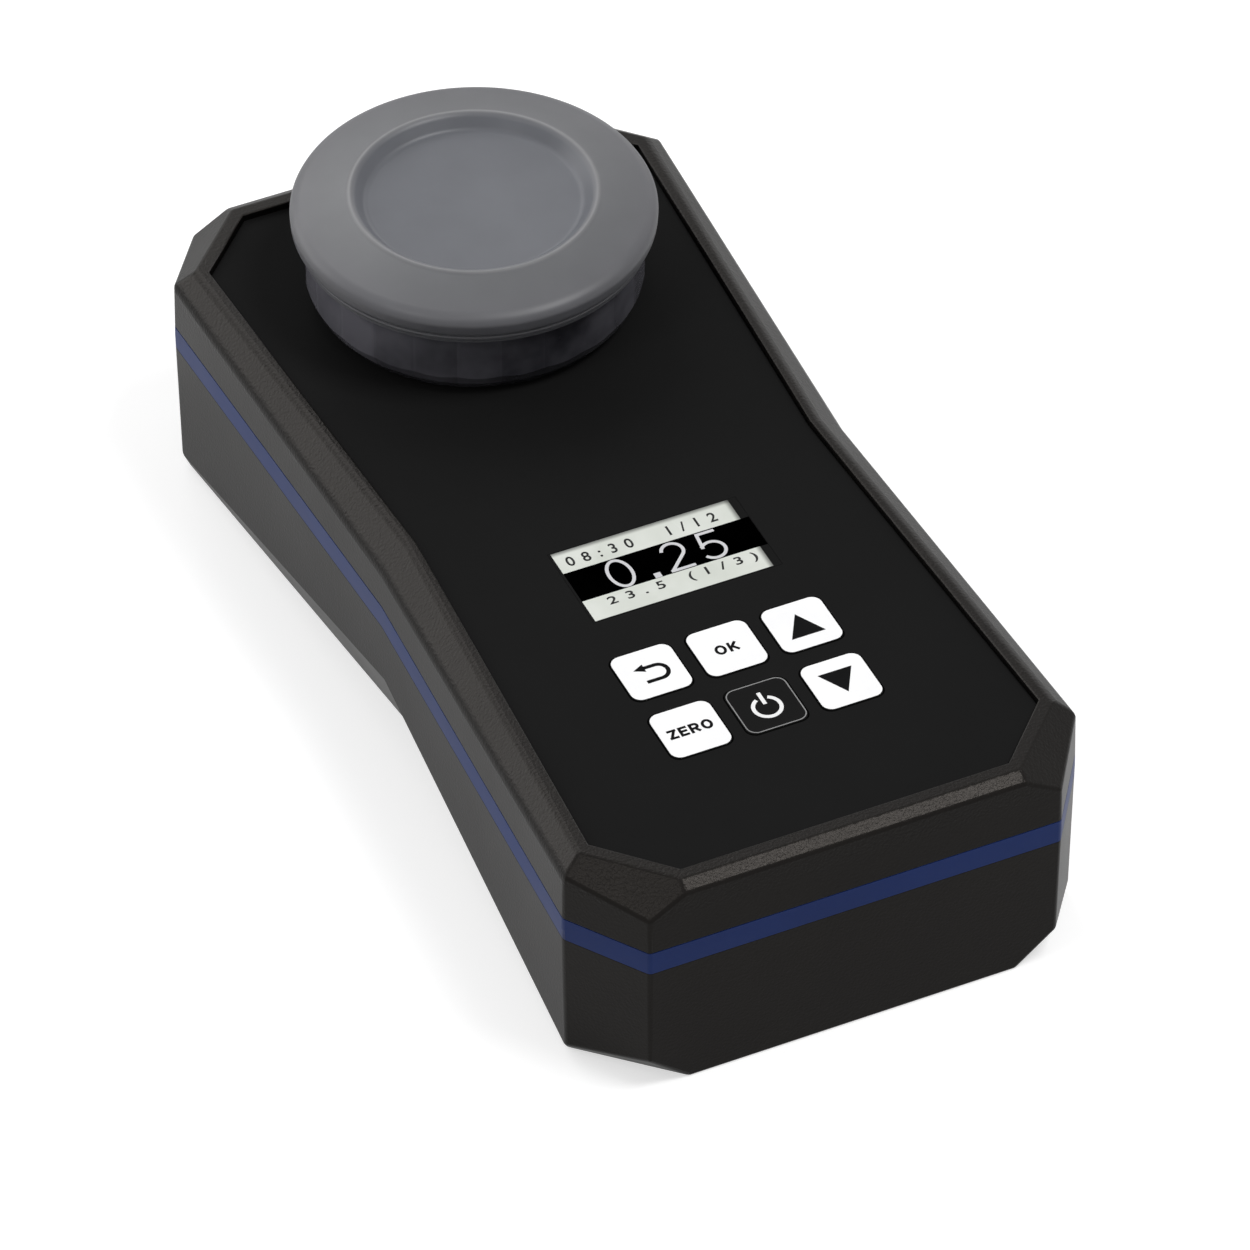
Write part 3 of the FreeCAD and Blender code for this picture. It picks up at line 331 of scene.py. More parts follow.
@dataclass(frozen=True)
class CapFinish(Finish):
    """Translucent grey silicone, whose thin web and wall let the dark hollow below show through, with a
    painted highlight along the ridge's crest.

    The first colour is that of the middle and the second that of the rim.
    """

    reach_mm: float = 26.0
    rim_mm: float = 25.9
    # Least and greatest brightness of the bloom
    bloom_least: float = 0.95
    bloom_most: float = 1.05
    # Radius in millimetres and colour of each ring between the two, from the dish floor outwards; the pale
    # ring at 17.45 mm is a painted highlight along the ridge's crest
    rings_and_crest_highlight: tuple[tuple[float, str], ...] = (
        (14.3, "#56585e"), (15.2, "#585a60"), (16.5, "#5a5c62"), (17.1, "#606165"), (17.45, "#7a7a7c"),
        (17.9, "#5b5c5f"), (21.0, "#57585b"))

    def colour_output(self, tree: bpy.types.NodeTree, place: bpy.types.NodeSocket) -> bpy.types.NodeSocket:
        """Ring colours by distance from the cap's axis, with a painted highlight ring on the crest, clouded
        by a few per cent.

        Args:
            tree: node tree of the material.
            place: object coordinates.

        Returns:
            The socket that carries the colour.
        """
        centred = add_node(tree, "ShaderNodeVectorMath", {"operation": "SUBTRACT"}, {
            0: place, 1: (0.0, WELL_Y * MM, 0.0)})
        flat = add_node(tree, "ShaderNodeVectorMath", {"operation": "MULTIPLY"}, {
            0: centred.outputs["Vector"], 1: (1.0, 1.0, 0.0)})
        reach = add_node(tree, "ShaderNodeVectorMath", {"operation": "LENGTH"}, {0: flat.outputs["Vector"]})
        share = add_node(tree, "ShaderNodeMath", {"operation": "DIVIDE"}, {
            0: reach.outputs["Value"], 1: self.reach_mm * MM})
        ramp = add_node(tree, "ShaderNodeValToRGB", {}, {"Fac": share.outputs["Value"]})
        stops = ramp.color_ramp.elements
        stops[0].color, stops[1].color = linear(self.colour), linear(self.drift)
        stops[1].position = self.rim_mm / self.reach_mm
        for radius, colour in self.rings_and_crest_highlight:
            stops.new(radius / self.reach_mm).color = linear(colour)
        cloud = add_node(tree, "ShaderNodeTexNoise", {}, {
            "Vector": place, "Scale": 1 / (self.drift_mm * MM), "Detail": 3.0})
        bloom = add_node(tree, "ShaderNodeMapRange", {}, {
            "Value": cloud.outputs["Fac"], "From Min": NOISE_LOW, "From Max": NOISE_HIGH,
            "To Min": self.bloom_least, "To Max": self.bloom_most})
        tint = add_node(tree, "ShaderNodeVectorMath", {"operation": "SCALE"}, {
            "Vector": ramp.outputs["Color"], "Scale": bloom.outputs["Result"]})
        return tint.outputs["Vector"]


@dataclass(frozen=True)
class FieldFinish(Finish):
    """Pale field of a liquid crystal cell, shaded along two edges by the frame above it."""

    shade_mm: float = 0.9
    shade: float = 0.3

    def edge_shade(
        self, tree: bpy.types.NodeTree, along: bpy.types.NodeSocket, edge: float
    ) -> bpy.types.NodeSocket:
        """Brightness that falls smoothly to the shade at an edge.

        Args:
            tree: node tree of the material.
            along: object coordinate square to the edge.
            edge: place of the edge on it, in millimetres.

        Returns:
            The socket that carries the brightness.
        """
        fall = add_node(tree, "ShaderNodeMapRange", {"interpolation_type": "SMOOTHSTEP"}, {
            "Value": along, "From Min": (edge - self.shade_mm) * MM, "From Max": edge * MM,
            "To Min": 1.0, "To Max": self.shade})
        return fall.outputs["Result"]

    def colour_output(self, tree: bpy.types.NodeTree, place: bpy.types.NodeSocket) -> bpy.types.NodeSocket:
        """Drifting field colour times the shade of both edges.

        Args:
            tree: node tree of the material.
            place: object coordinates.

        Returns:
            The socket that carries the colour.
        """
        plain = super().colour_output(tree, place)
        parts = add_node(tree, "ShaderNodeSeparateXYZ", {}, {"Vector": place})
        both = add_node(tree, "ShaderNodeMath", {"operation": "MULTIPLY"}, {
            0: self.edge_shade(tree, parts.outputs["Y"], FIELD_FAR),
            1: self.edge_shade(tree, parts.outputs["X"], FIELD_RIGHT)})
        shaded = add_node(tree, "ShaderNodeVectorMath", {"operation": "SCALE"}, {
            "Vector": plain, "Scale": both.outputs["Value"]})
        return shaded.outputs["Vector"]


@dataclass(frozen=True)
class SmokedFinish(Finish):
    """Smoky polished plastic, paler towards the sides by a painted sheen where the wall is seen edge on, each
    flat in a tone of its own.
    """

    flats: int = 24
    near_mm: float = 5.0
    edge_mm: float = 24.0
    # What each source adds to the tone at most (the side share is a painted sheen), and the tones of the dark
    # and the pale colour
    side_sheen_share: float = 0.6
    smoke_share: float = 0.5
    flat_share: float = 0.25
    dark_tone: float = 0.25
    pale_tone: float = 1.0

    def flat_tone(self, tree: bpy.types.NodeTree, place: bpy.types.NodeSocket) -> bpy.types.NodeSocket:
        """Random tone from nought to one for each flat, by its angle round the axis.

        Args:
            tree: node tree of the material.
            place: object coordinates.

        Returns:
            The socket that carries the tone.
        """
        centred = add_node(tree, "ShaderNodeVectorMath", {"operation": "SUBTRACT"}, {
            0: place, 1: (0.0, WELL_Y * MM, 0.0)})
        parts = add_node(tree, "ShaderNodeSeparateXYZ", {}, {"Vector": centred.outputs["Vector"]})
        angle = add_node(tree, "ShaderNodeMath", {"operation": "ARCTAN2"}, {
            0: parts.outputs["Y"], 1: parts.outputs["X"]})
        turn = add_node(tree, "ShaderNodeMath", {"operation": "MULTIPLY"}, {
            0: angle.outputs["Value"], 1: self.flats / (2 * math.pi)})
        number = add_node(tree, "ShaderNodeMath", {"operation": "FLOOR"}, {0: turn.outputs["Value"]})
        tone = add_node(tree, "ShaderNodeTexWhiteNoise", {"noise_dimensions": "1D"}, {
            "W": number.outputs["Value"]})
        return tone.outputs["Value"]

    def colour_output(self, tree: bpy.types.NodeTree, place: bpy.types.NodeSocket) -> bpy.types.NodeSocket:
        """Painted sheen by distance from the middle, cloudy smoke and the flat's own tone, summed and ramped
        to a colour.

        Args:
            tree: node tree of the material.
            place: object coordinates.

        Returns:
            The socket that carries the colour.
        """
        parts = add_node(tree, "ShaderNodeSeparateXYZ", {}, {"Vector": place})
        # Painted sheen: the colour grows paler with distance from the middle along X
        away = add_node(tree, "ShaderNodeMath", {"operation": "ABSOLUTE"}, {0: parts.outputs["X"]})
        side = add_node(tree, "ShaderNodeMapRange", {}, {
            "Value": away.outputs["Value"], "From Min": self.near_mm * MM, "From Max": self.edge_mm * MM,
            "To Min": 0.0, "To Max": self.side_sheen_share})
        cloud = add_node(tree, "ShaderNodeTexNoise", {}, {
            "Vector": place, "Scale": 1 / (self.drift_mm * MM), "Detail": 2.0})
        smoke = add_node(tree, "ShaderNodeMath", {"operation": "MULTIPLY_ADD"}, {
            0: cloud.outputs["Fac"], 1: self.smoke_share, 2: side.outputs["Result"]})
        level = add_node(tree, "ShaderNodeMath", {"operation": "MULTIPLY_ADD"}, {
            0: self.flat_tone(tree, place), 1: self.flat_share, 2: smoke.outputs["Value"]})
        ramp = add_node(tree, "ShaderNodeValToRGB", {}, {"Fac": level.outputs["Value"]})
        dark, pale = ramp.color_ramp.elements
        dark.position, pale.position = self.dark_tone, self.pale_tone
        dark.color, pale.color = linear(self.colour), linear(self.drift)
        return ramp.outputs["Color"]


# Spark-eroded ABS: a dull, slightly warm black that glints where a softbox grazes it. The grain is drawn
# about twice as coarse as the real 0.2 mm, so that it shows.
HOUSING_ABS = ShellFinish("spark-eroded ABS", "#090808", "#0c0b0a", 0.32, 0.02, specular=0.145,
                          tint="#fff6ee", drift_mm=9, grain_mm=0.42, grain_height_mm=0.064)
# Moulded thermoplastic elastomer: a smooth satin blue band.
SEAL_TPE = Finish("blue thermoplastic elastomer", "#0c2760", "#102b66", 0.4, 0.04, specular=0.17,
                  drift_mm=14, grain_mm=0.4, grain_height_mm=0.003)
# Screen-printed polyester film: flat black with hardly any shine.
PANEL_FILM = Finish("printed polyester film", "#1a1a1a", "#1b1b1b", 0.5, 0.03, specular=0.01,
                    drift_mm=20, grain_mm=0.25, grain_height_mm=0.001)
KEY_FILM = Finish("black printed key film", "#1a1a1a", "#1b1b1b", 0.5, 0.03, specular=0.01, drift_mm=8)
# Screen inks: thin, even and dull, so that the keys' signs read from any side.
KEY_WHITE = Finish("white key ink", "#fafafa", "#f7f7f8", 0.45, 0.03, specular=0.2, drift_mm=8)
INK_BLACK = Finish("black screen ink", "#0a0a0b", "#0d0d0e", 0.5, 0.03, specular=0.03, drift_mm=3)
INK_WHITE = Finish("white screen ink", "#f2f2f2", "#ececec", 0.5, 0.03, specular=0.2, drift_mm=3)
INK_GREY = Finish("grey screen ink", "#868686", "#909090", 0.5, 0.03, specular=0.1, drift_mm=3)
# Back-printed acrylic cover: its frame is as dull as the film round it.
DISPLAY_MASK = Finish("back-printed acrylic cover", "#191919", "#1a1a1a", 0.35, 0.03, specular=0.01,
                      drift_mm=10)
# Liquid crystal cell: a pale greenish field with soft dark figures, and one band that is driven black.
DISPLAY_BAND = Finish("driven liquid crystal band", "#000000", "#010101", 0.2, 0.02, specular=0.0,
                      drift_mm=10)
DISPLAY_LIGHT = FieldFinish("reflective liquid crystal field", "#cdd1c9", "#dcdfd9", 0.3, 0.03,
                            specular=0.2, drift_mm=12)
DISPLAY_DARK = Finish("dark liquid crystal segment", "#1b1c1c", "#222323", 0.3, 0.03, specular=0.1,
                      drift_mm=4)
DISPLAY_BRIGHT = Finish("bright liquid crystal segment", "#cfcfd1", "#c8c8cb", 0.3, 0.03, specular=0.2,
                        drift_mm=4)
# Moulded silicone: matt, slightly translucent, with a faint bloom and a painted highlight along the ridge's
# crest.
CAP_SILICONE = CapFinish("translucent grey silicone", "#595b61", "#555559", 0.45, 0.04, specular=0.5,
                         subsurface=0.2, drift_mm=7, grain_mm=0.6, grain_height_mm=0.004)
# Moulded smoked acrylic: dark and polished, with cloudy flow marks and a painted sheen towards its sides.
COLLAR_ACRYLIC = SmokedFinish("smoked acrylic", "#222227", "#6a6970", 0.12, 0.03, ior=1.49, specular=0.5,
                              drift_mm=5, grain_mm=4.0, grain_height_mm=0.02)
# Moulded optical ABS: a dead matt black that swallows stray light.
BLOCK_ABS = Finish("matt black optical ABS", "#121212", "#161616", 0.6, 0.04, drift_mm=6,
                   grain_mm=0.3, grain_height_mm=0.01)
# Drawn borosilicate glass: clear and faintly cool, with sharp glints.
CUVETTE_GLASS = Finish("borosilicate glass", "#f2f8f7", "#eef6f5", 0.03, 0.01, ior=1.47, transmission=1.0)
# Glass cell with its polariser: greyish green and smooth.
DISPLAY_GLASS = Finish("display cell glass", "#a9b0a4", "#a2aa9d", 0.15, 0.03, drift_mm=9)
# Moulded acrylic filled with white: milky and even.
DIFFUSER = Finish("white diffuser acrylic", "#e9e9e6", "#dfdfdc", 0.4, 0.04, drift_mm=6)
# Solder-masked laminate: satin green with paler tracks under it.
LAMINATE = LaminateFinish("solder-masked laminate", "#0e3d22", "#1c5a33", 0.35, 0.05, coat=0.2)
# Transfer-moulded epoxy: dark grey with fine pits.
EPOXY = Finish("moulded epoxy", "#17181a", "#1d1e20", 0.5, 0.05, grain_mm=0.2, grain_height_mm=0.004)
# Stamped tinplate: a soft grey mirror with faint rolling waves.
TINPLATE = Finish("tinned sheet", "#b9bab8", "#a9aaa8", 0.3, 0.08, metallic=1.0, grain_mm=1.5,
                  grain_height_mm=0.004)
# Moulded nylon: waxy cream where it is natural, satin where it is black.
NYLON = Finish("natural nylon", "#d8d2bf", "#cdc6b1", 0.45, 0.04, subsurface=0.1)
HEADER_NYLON = Finish("black nylon", "#161616", "#1d1d1d", 0.5, 0.04)
# Extruded PVC: smooth and satin.
LEAD_PVC = Finish("red PVC insulation", "#8c1616", "#a01d1b", 0.4, 0.04)
# Moulded ABS: plain black with a fine grain.
HOLDER_ABS = Finish("black ABS", "#1a1a1b", "#202021", 0.5, 0.04, grain_mm=0.4, grain_height_mm=0.008)
# Shrunk metallised foil: a dark sleeve with a coppery end, glossy as lacquer.
SLEEVE = SleeveFinish("printed battery sleeve", "#2a2f38", "#9c7a3a", 0.25, 0.03, metallic=0.4,
                      edge_mm=-20.0)
# Nickel-plated spring steel: warm and bright.
NICKEL = Finish("nickel-plated steel", "#b7b0a4", "#a69f93", 0.25, 0.06, metallic=1.0, grain_mm=0.8,
                grain_height_mm=0.003)
# Zinc-plated steel: cool grey with a patchy gloss.
ZINC_STEEL = Finish("zinc-plated steel", "#a7a9ab", "#94979a", 0.32, 0.08, metallic=1.0, grain_mm=0.5,
                    grain_height_mm=0.004)
# Cast tinted epoxy: glassy beads that glow in their own colour, or nearly black over a photodiode.
RED_LENS = Finish("red lamp epoxy", "#c22a22", "#a8201c", 0.1, 0.03, transmission=0.5)
YELLOW_LENS = Finish("yellow lamp epoxy", "#d7a52a", "#c4921d", 0.1, 0.03, transmission=0.5)
GREEN_LENS = Finish("green lamp epoxy", "#2f9c4a", "#24853c", 0.1, 0.03, transmission=0.5)
DIODE_LENS = Finish("dark photodiode epoxy", "#26262b", "#303036", 0.12, 0.03, transmission=0.2)
# Moulded rubbers: a matt grey mat, and seals in a dull near-black.
SILICONE_MAT = Finish("grey silicone sheet", "#6a6a6a", "#757575", 0.6, 0.05)
NITRILE = Finish("nitrile rubber", "#1a1a1a", "#222222", 0.5, 0.05)

NODE_FINISHES: dict[Finish, tuple[str, ...]] = {
    HOUSING_ABS: ("battery_door",),
    PANEL_FILM: ("front_panel",),
    DISPLAY_MASK: ("display_window",),
    DISPLAY_GLASS: ("display_glass",),
    DIFFUSER: ("display_backlight",),
    COLLAR_ACRYLIC: ("cuvette_collar",),
    BLOCK_ABS: ("optics_block",),
    CUVETTE_GLASS: ("cuvette",),
    LAMINATE: ("main_board", "emitter_board", "sensor_board"),
    EPOXY: ("processor_chip",),
    TINPLATE: ("radio_module",),
    NYLON: ("battery_connector",),
    HEADER_NYLON: ("board_headers",),
    LEAD_PVC: ("battery_leads",),
    HOLDER_ABS: ("battery_holder",),
    SLEEVE: ("battery_left", "battery_middle", "battery_right"),
    NICKEL: ("battery_springs", "battery_contacts"),
    ZINC_STEEL: ("housing_screws", "board_screws", "optics_screws", "battery_door_screws"),
    RED_LENS: ("red_emitter",),
    YELLOW_LENS: ("yellow_emitter",),
    GREEN_LENS: ("green_emitter",),
    DIODE_LENS: ("red_photodiode", "yellow_photodiode", "green_photodiode"),
    SILICONE_MAT: ("keypad_mat",),
    NITRILE: ("battery_door_seal", "cuvette_seal"),
}


class Paintshop:
    """Builds each finish once and lends it to every piece that has it."""

    def __init__(self) -> None:
        """Start with no finish made."""
        self._made: dict[str, bpy.types.Material] = {}

    def paint(self, piece: bpy.types.Object, finish: Finish) -> None:
        """Give a piece one finish all over.

        Args:
            piece: mesh object.
            finish: the surface it gets.
        """
        if finish.title not in self._made:
            self._made[finish.title] = finish.build()
        piece.data.materials.clear()
        piece.data.materials.append(self._made[finish.title])


def new_object(title: str, mesh: bpy.types.Mesh) -> bpy.types.Object:
    """Put a mesh into the scene as an object at the origin.

    Args:
        title: name of the object.
        mesh: its mesh, in metres.

    Returns:
        The object, linked into the scene.
    """
    piece = bpy.data.objects.new(title, mesh)
    bpy.context.scene.collection.objects.link(piece)
    return piece


def new_piece(
    title: str, points: np.ndarray, faces: list[tuple[int, ...]], smooth: bool
) -> bpy.types.Object:
    """Make a mesh object at the origin from points in millimetres.

    Args:
        title: name of the piece.
        points: vertex places, one row each, in millimetres.
        faces: vertex numbers of each face, anticlockwise from outside.
        smooth: whether faces are shaded smooth.

    Returns:
        The object, linked into the scene.
    """
    mesh = bpy.data.meshes.new(title)
    mesh.from_pydata((np.asarray(points, float) * MM).tolist(), [], faces)
    mesh.polygons.foreach_set("use_smooth", np.full(len(mesh.polygons), smooth))
    mesh.update()
    return new_object(title, mesh)


def rounded_line(corners: np.ndarray, cuts: np.ndarray, steps: int = 7) -> np.ndarray:
    """Round the inner corners of a line of straight runs.

    Each corner becomes the parabola whose ends lie a cut's length along the two runs that meet there.

    Args:
        corners: corner places, one row each.
        cuts: length taken off both runs at each inner corner.
        steps: points on each rounded corner.

    Returns:
        The points of the rounded line, ends included.
    """
    before, middle, after = corners[:-2], corners[1:-1], corners[2:]
    back = (before - middle) / np.linalg.norm(before - middle, axis=1, keepdims=True)
    ahead = (after - middle) / np.linalg.norm(after - middle, axis=1, keepdims=True)
    start, end = middle + back * cuts[:, None], middle + ahead * cuts[:, None]
    share = np.linspace(0, 1, steps)[None, :, None]
    left = 1 - share
    curve = left ** 2 * start[:, None] + 2 * share * left * middle[:, None] + share ** 2 * end[:, None]
    return np.vstack([corners[:1], curve.reshape(-1, corners.shape[1]), corners[-1:]])


def turned_surface(title: str, profile: np.ndarray, centre_y: float, count: int) -> bpy.types.Object:
    """Turn a profile of radius and height about an upright axis, closed by a pole at each end.

    Point (i, j) is at angle 2 pi j / count on the circle of profile row i.

    Args:
        title: name of the piece.
        profile: radius and height rows in millimetres, first and last on the axis.
        centre_y: place of the axis along Y.
        count: points round the axis.

    Returns:
        The closed, smooth piece.
    """
    angle = np.linspace(0, 2 * np.pi, count, endpoint=False)
    radius, height = profile[1:-1, 0:1], profile[1:-1, 1:2]
    rings_and_crest_highlight = np.stack([radius * np.cos(angle), centre_y + radius * np.sin(angle),
                      np.broadcast_to(height, (len(radius), count))], axis=-1).reshape(-1, 3)
    poles = np.array([[0, centre_y, profile[0, 1]], [0, centre_y, profile[-1, 1]]])
    row = np.arange(len(radius) - 1)[:, None] * count
    here, following = np.arange(count)[None, :], (np.arange(count)[None, :] + 1) % count
    quads = np.stack([row + here, row + count + here, row + count + following, row + following], axis=-1)
    first, last = len(rings_and_crest_highlight), len(rings_and_crest_highlight) + 1
    end_row = (len(radius) - 1) * count
    top = np.stack([np.full(count, first), here[0], following[0]], axis=-1)
    base = np.stack([end_row + following[0], end_row + here[0], np.full(count, last)], axis=-1)
    faces = [tuple(face) for part in (quads.reshape(-1, 4), top, base) for face in part.tolist()]
    return new_piece(title, np.vstack([rings_and_crest_highlight, poles]), faces, smooth=True)


def flat_face(title: str, outline: np.ndarray, level: float) -> bpy.types.Object:
    """One face in a level plane.

    Args:
        title: name of the piece.
        outline: X and Y rows in millimetres, anticlockwise from above.
        level: height of the plane.

    Returns:
        The flat piece, its face upwards.
    """
    points = np.column_stack([outline, np.full(len(outline), level)])
    return new_piece(title, points, [tuple(range(len(outline)))], smooth=False)


def thicken(piece: bpy.types.Object, height: float) -> None:
    """Raise a flat piece upwards from its plane.

    Args:
        piece: flat piece, its faces upwards.
        height: thickness that it gets, in millimetres.
    """
    layer = piece.modifiers.new("thickness", "SOLIDIFY")
    layer.thickness = height * MM
    layer.offset = 1.0


def oval(
    middle: tuple[float, float], reach: tuple[float, float], start: float, end: float, count: int
) -> np.ndarray:
    """Part of an ellipse: its middle plus its reach times the cosine and sine of equal steps.

    Args:
        middle: centre along X and Y.
        reach: half widths along X and Y.
        start: first angle in degrees, anticlockwise from X.
        end: last angle in degrees.
        count: number of points.

    Returns:
        X and Y rows.
    """
    angle = np.radians(np.linspace(start, end, count))
    return np.asarray(middle) + np.asarray(reach) * np.column_stack([np.cos(angle), np.sin(angle)])


def rounded_rectangle(width: float, length: float, radius: float) -> np.ndarray:
    """Closed rounded rectangle about the origin: four quarter circles in turn, joined by straight runs.

    Args:
        width: size along X.
        length: size along Y.
        radius: radius of the corners.

    Returns:
        X and Y rows, anticlockwise.
    """
    turn = np.linspace(0, np.pi / 2, 9)[None, :] + np.arange(4)[:, None] * np.pi / 2
    sides = np.array([[1, 1], [-1, 1], [-1, -1], [1, -1]])
    middle = sides * (np.array([width, length]) / 2 - radius)
    ring = middle[:, None, :] + radius * np.stack([np.cos(turn), np.sin(turn)], axis=-1)
    return ring.reshape(-1, 2)


def stroke_band(line: np.ndarray, width: float, closed: bool) -> tuple[np.ndarray, np.ndarray]:
    """Flat stroke of even width along a line.

    Each point of the line gives two, half a width to either side of it, square to the line's direction.

    Args:
        line: X and Y rows.
        width: stroke width.
        closed: whether the last point joins the first.

    Returns:
        The X and Y rows of the stroke's two edges, and its faces, which look up.
    """
    run = np.roll(line, -1, axis=0) - np.roll(line, 1, axis=0) if closed else np.gradient(line, axis=0)
    run = run / np.linalg.norm(run, axis=1, keepdims=True)
    side = np.stack([-run[:, 1], run[:, 0]], axis=1) * width / 2
    count = len(line)
    here = np.arange(count if closed else count - 1)
    following = (here + 1) % count
    faces = np.stack([here, here + count, following + count, following], axis=1)
    return np.vstack([line + side, line - side]), faces


def flat_strokes(
    title: str, strokes: list[tuple[np.ndarray, bool]], width: float, level: float
) -> bpy.types.Object:
    """One flat piece of several strokes in a level plane.

    Each stroke lies a hair above the one before, so that no faces share a plane where two strokes cross.

    Args:
        title: name of the piece.
        strokes: line of each stroke in millimetres, and whether it's closed.
        width: stroke width.
        level: height of the first stroke's plane.

    Returns:
        The flat piece, its faces upwards.
    """
    bands = [stroke_band(np.asarray(line, float), width, closed) for line, closed in strokes]
    starts = np.cumsum([0] + [len(points) for points, _ in bands[:-1]])
    points = np.vstack([np.column_stack([points, np.full(len(points), level + STROKE_STEP * number)])
                        for number, (points, _) in enumerate(bands)])
    faces = np.vstack([faces + start for (_, faces), start in zip(bands, starts)])
    return new_piece(title, points, [tuple(face) for face in faces.tolist()], smooth=False)


@dataclass(frozen=True)
class StrokeText:
    """Plain capitals or figures, each a few strokes of even width."""

    text: str
    width: float
    height: float
    stroke: float
    # Space between letters, for a height of one
    gap: float = 0.15

    def glyph(self, name: str) -> tuple[float, list[tuple[np.ndarray, bool]]]:
        """Width and strokes of one letter or figure, for a height of one.

        A straight stroke has two points, and bowls are parts of ellipses. Strokes keep half their width
        inside the letter's box.

        Args:
            name: the letter or figure.

        Returns:
            Its width, and the line of each stroke with whether it's closed.
        """
        half = self.stroke / self.height / 2
        top, middle = 1 - half, 0.45
        stem = [[half, 0], [half, 1]]
        if name in "O0":
            reach = 0.43 if name == "O" else 0.33
            return 2 * reach, [(oval((reach, 0.5), (reach - half, 0.51 - half), 0, 351, 40), True)]
        width, lines = {
            "Z": (0.7, [[[0, top], [0.7, top]], [[0, half], [0.7, half]], [[0.12, half], [0.58, top]]]),
            "E": (0.68, [stem, [[0, top], [0.68, top]], [[0, 0.52], [0.63, 0.52]],
                         [[0, half], [0.68, half]]]),
            "R": (0.78, [stem, [[0, top], [0.43, top]], [[0, middle], [0.43, middle]],
                         [[0.4, middle], [0.69, 0.05]],
                         oval((0.42, (top + middle) / 2), (0.34 - half, (top - middle) / 2), 90, -90, 17)]),
            "K": (0.78, [stem, [[0.1, 0.3], [0.66, 0.95]], [[0.3, 0.56], [0.69, 0.05]]]),
            "2": (0.66, [np.vstack([oval((0.32, 0.69), (0.31 - half, 0.31 - half), 168, -45, 25),
                                    [[0.04, half]]]),
                         [[0, half], [0.64, half]]]),
            "5": (0.66, [[[0.1, top], [0.59, top]], [[0.14, 1], [0.08, 0.45]],
                         oval((0.3, 0.33), (0.34 - half, 0.33 - half), 146, -150, 29)]),
        }[name]
        return width, [(np.array(line, float), False) for line in lines]

    def build(self, title: str, centre: np.ndarray, level: float) -> bpy.types.Object:
        """Set the letters in a row about a centre.

        Args:
            title: name of the piece.
            centre: middle of the word along X and Y.
            level: height of its plane.

        Returns:
            The flat piece.
        """
        letters = [self.glyph(name) for name in self.text]
        starts = np.cumsum([0.0] + [width + self.gap for width, _ in letters])
        scale = np.array([self.width / (starts[-1] - self.gap), self.height])
        shift = centre - np.array([self.width, self.height]) / 2
        strokes = [((line + [start, 0]) * scale + shift, closed)
                   for (_, lines), start in zip(letters, starts) for line, closed in lines]
        return flat_strokes(title, strokes, self.stroke, level)


@dataclass(frozen=True)
class Lettering:
    """A line of small numbers and signs in Blender's own type, drawn to a real height and width."""

    text: str
    width: float
    height: float
    centre: tuple[float, float]
    spacing: float = 1.9
    weight: float = 0.015

    def build(self, title: str, level: float) -> bpy.types.Object:
        """Make the line a flat mesh and fit it to its size.

        Args:
            title: name of the piece.
            level: height of its plane.

        Returns:
            The flat piece at its place.
        """
        curve = bpy.data.curves.new(title, "FONT")
        curve.body = self.text
        curve.size = 1.0
        curve.space_character = self.spacing
        curve.offset = self.weight
        curve.resolution_u = 6
        holder = new_object(title + "_type", curve)
        shape = holder.evaluated_get(bpy.context.evaluated_depsgraph_get())
        mesh = bpy.data.meshes.new_from_object(shape)
        mesh.name = title
        bpy.data.objects.remove(holder)
        places = np.empty(len(mesh.vertices) * 3)
        mesh.vertices.foreach_get("co", places)
        places = places.reshape(-1, 3)
        low, high = places.min(axis=0), places.max(axis=0)
        scale = np.array([self.width / (high[0] - low[0]), self.height / (high[1] - low[1]), 0.0])
        middle = np.array([self.centre[0], self.centre[1], level])
        places = ((places - (low + high) / 2) * scale + middle) * MM
        mesh.vertices.foreach_set("co", places.ravel())
        mesh.update()
        return new_object(title, mesh)


class EdgeUse(Enum):
    """Which edges of a welded CAD copy are rounded."""

    OUTSIDE = "outside"
    TOP = "top"


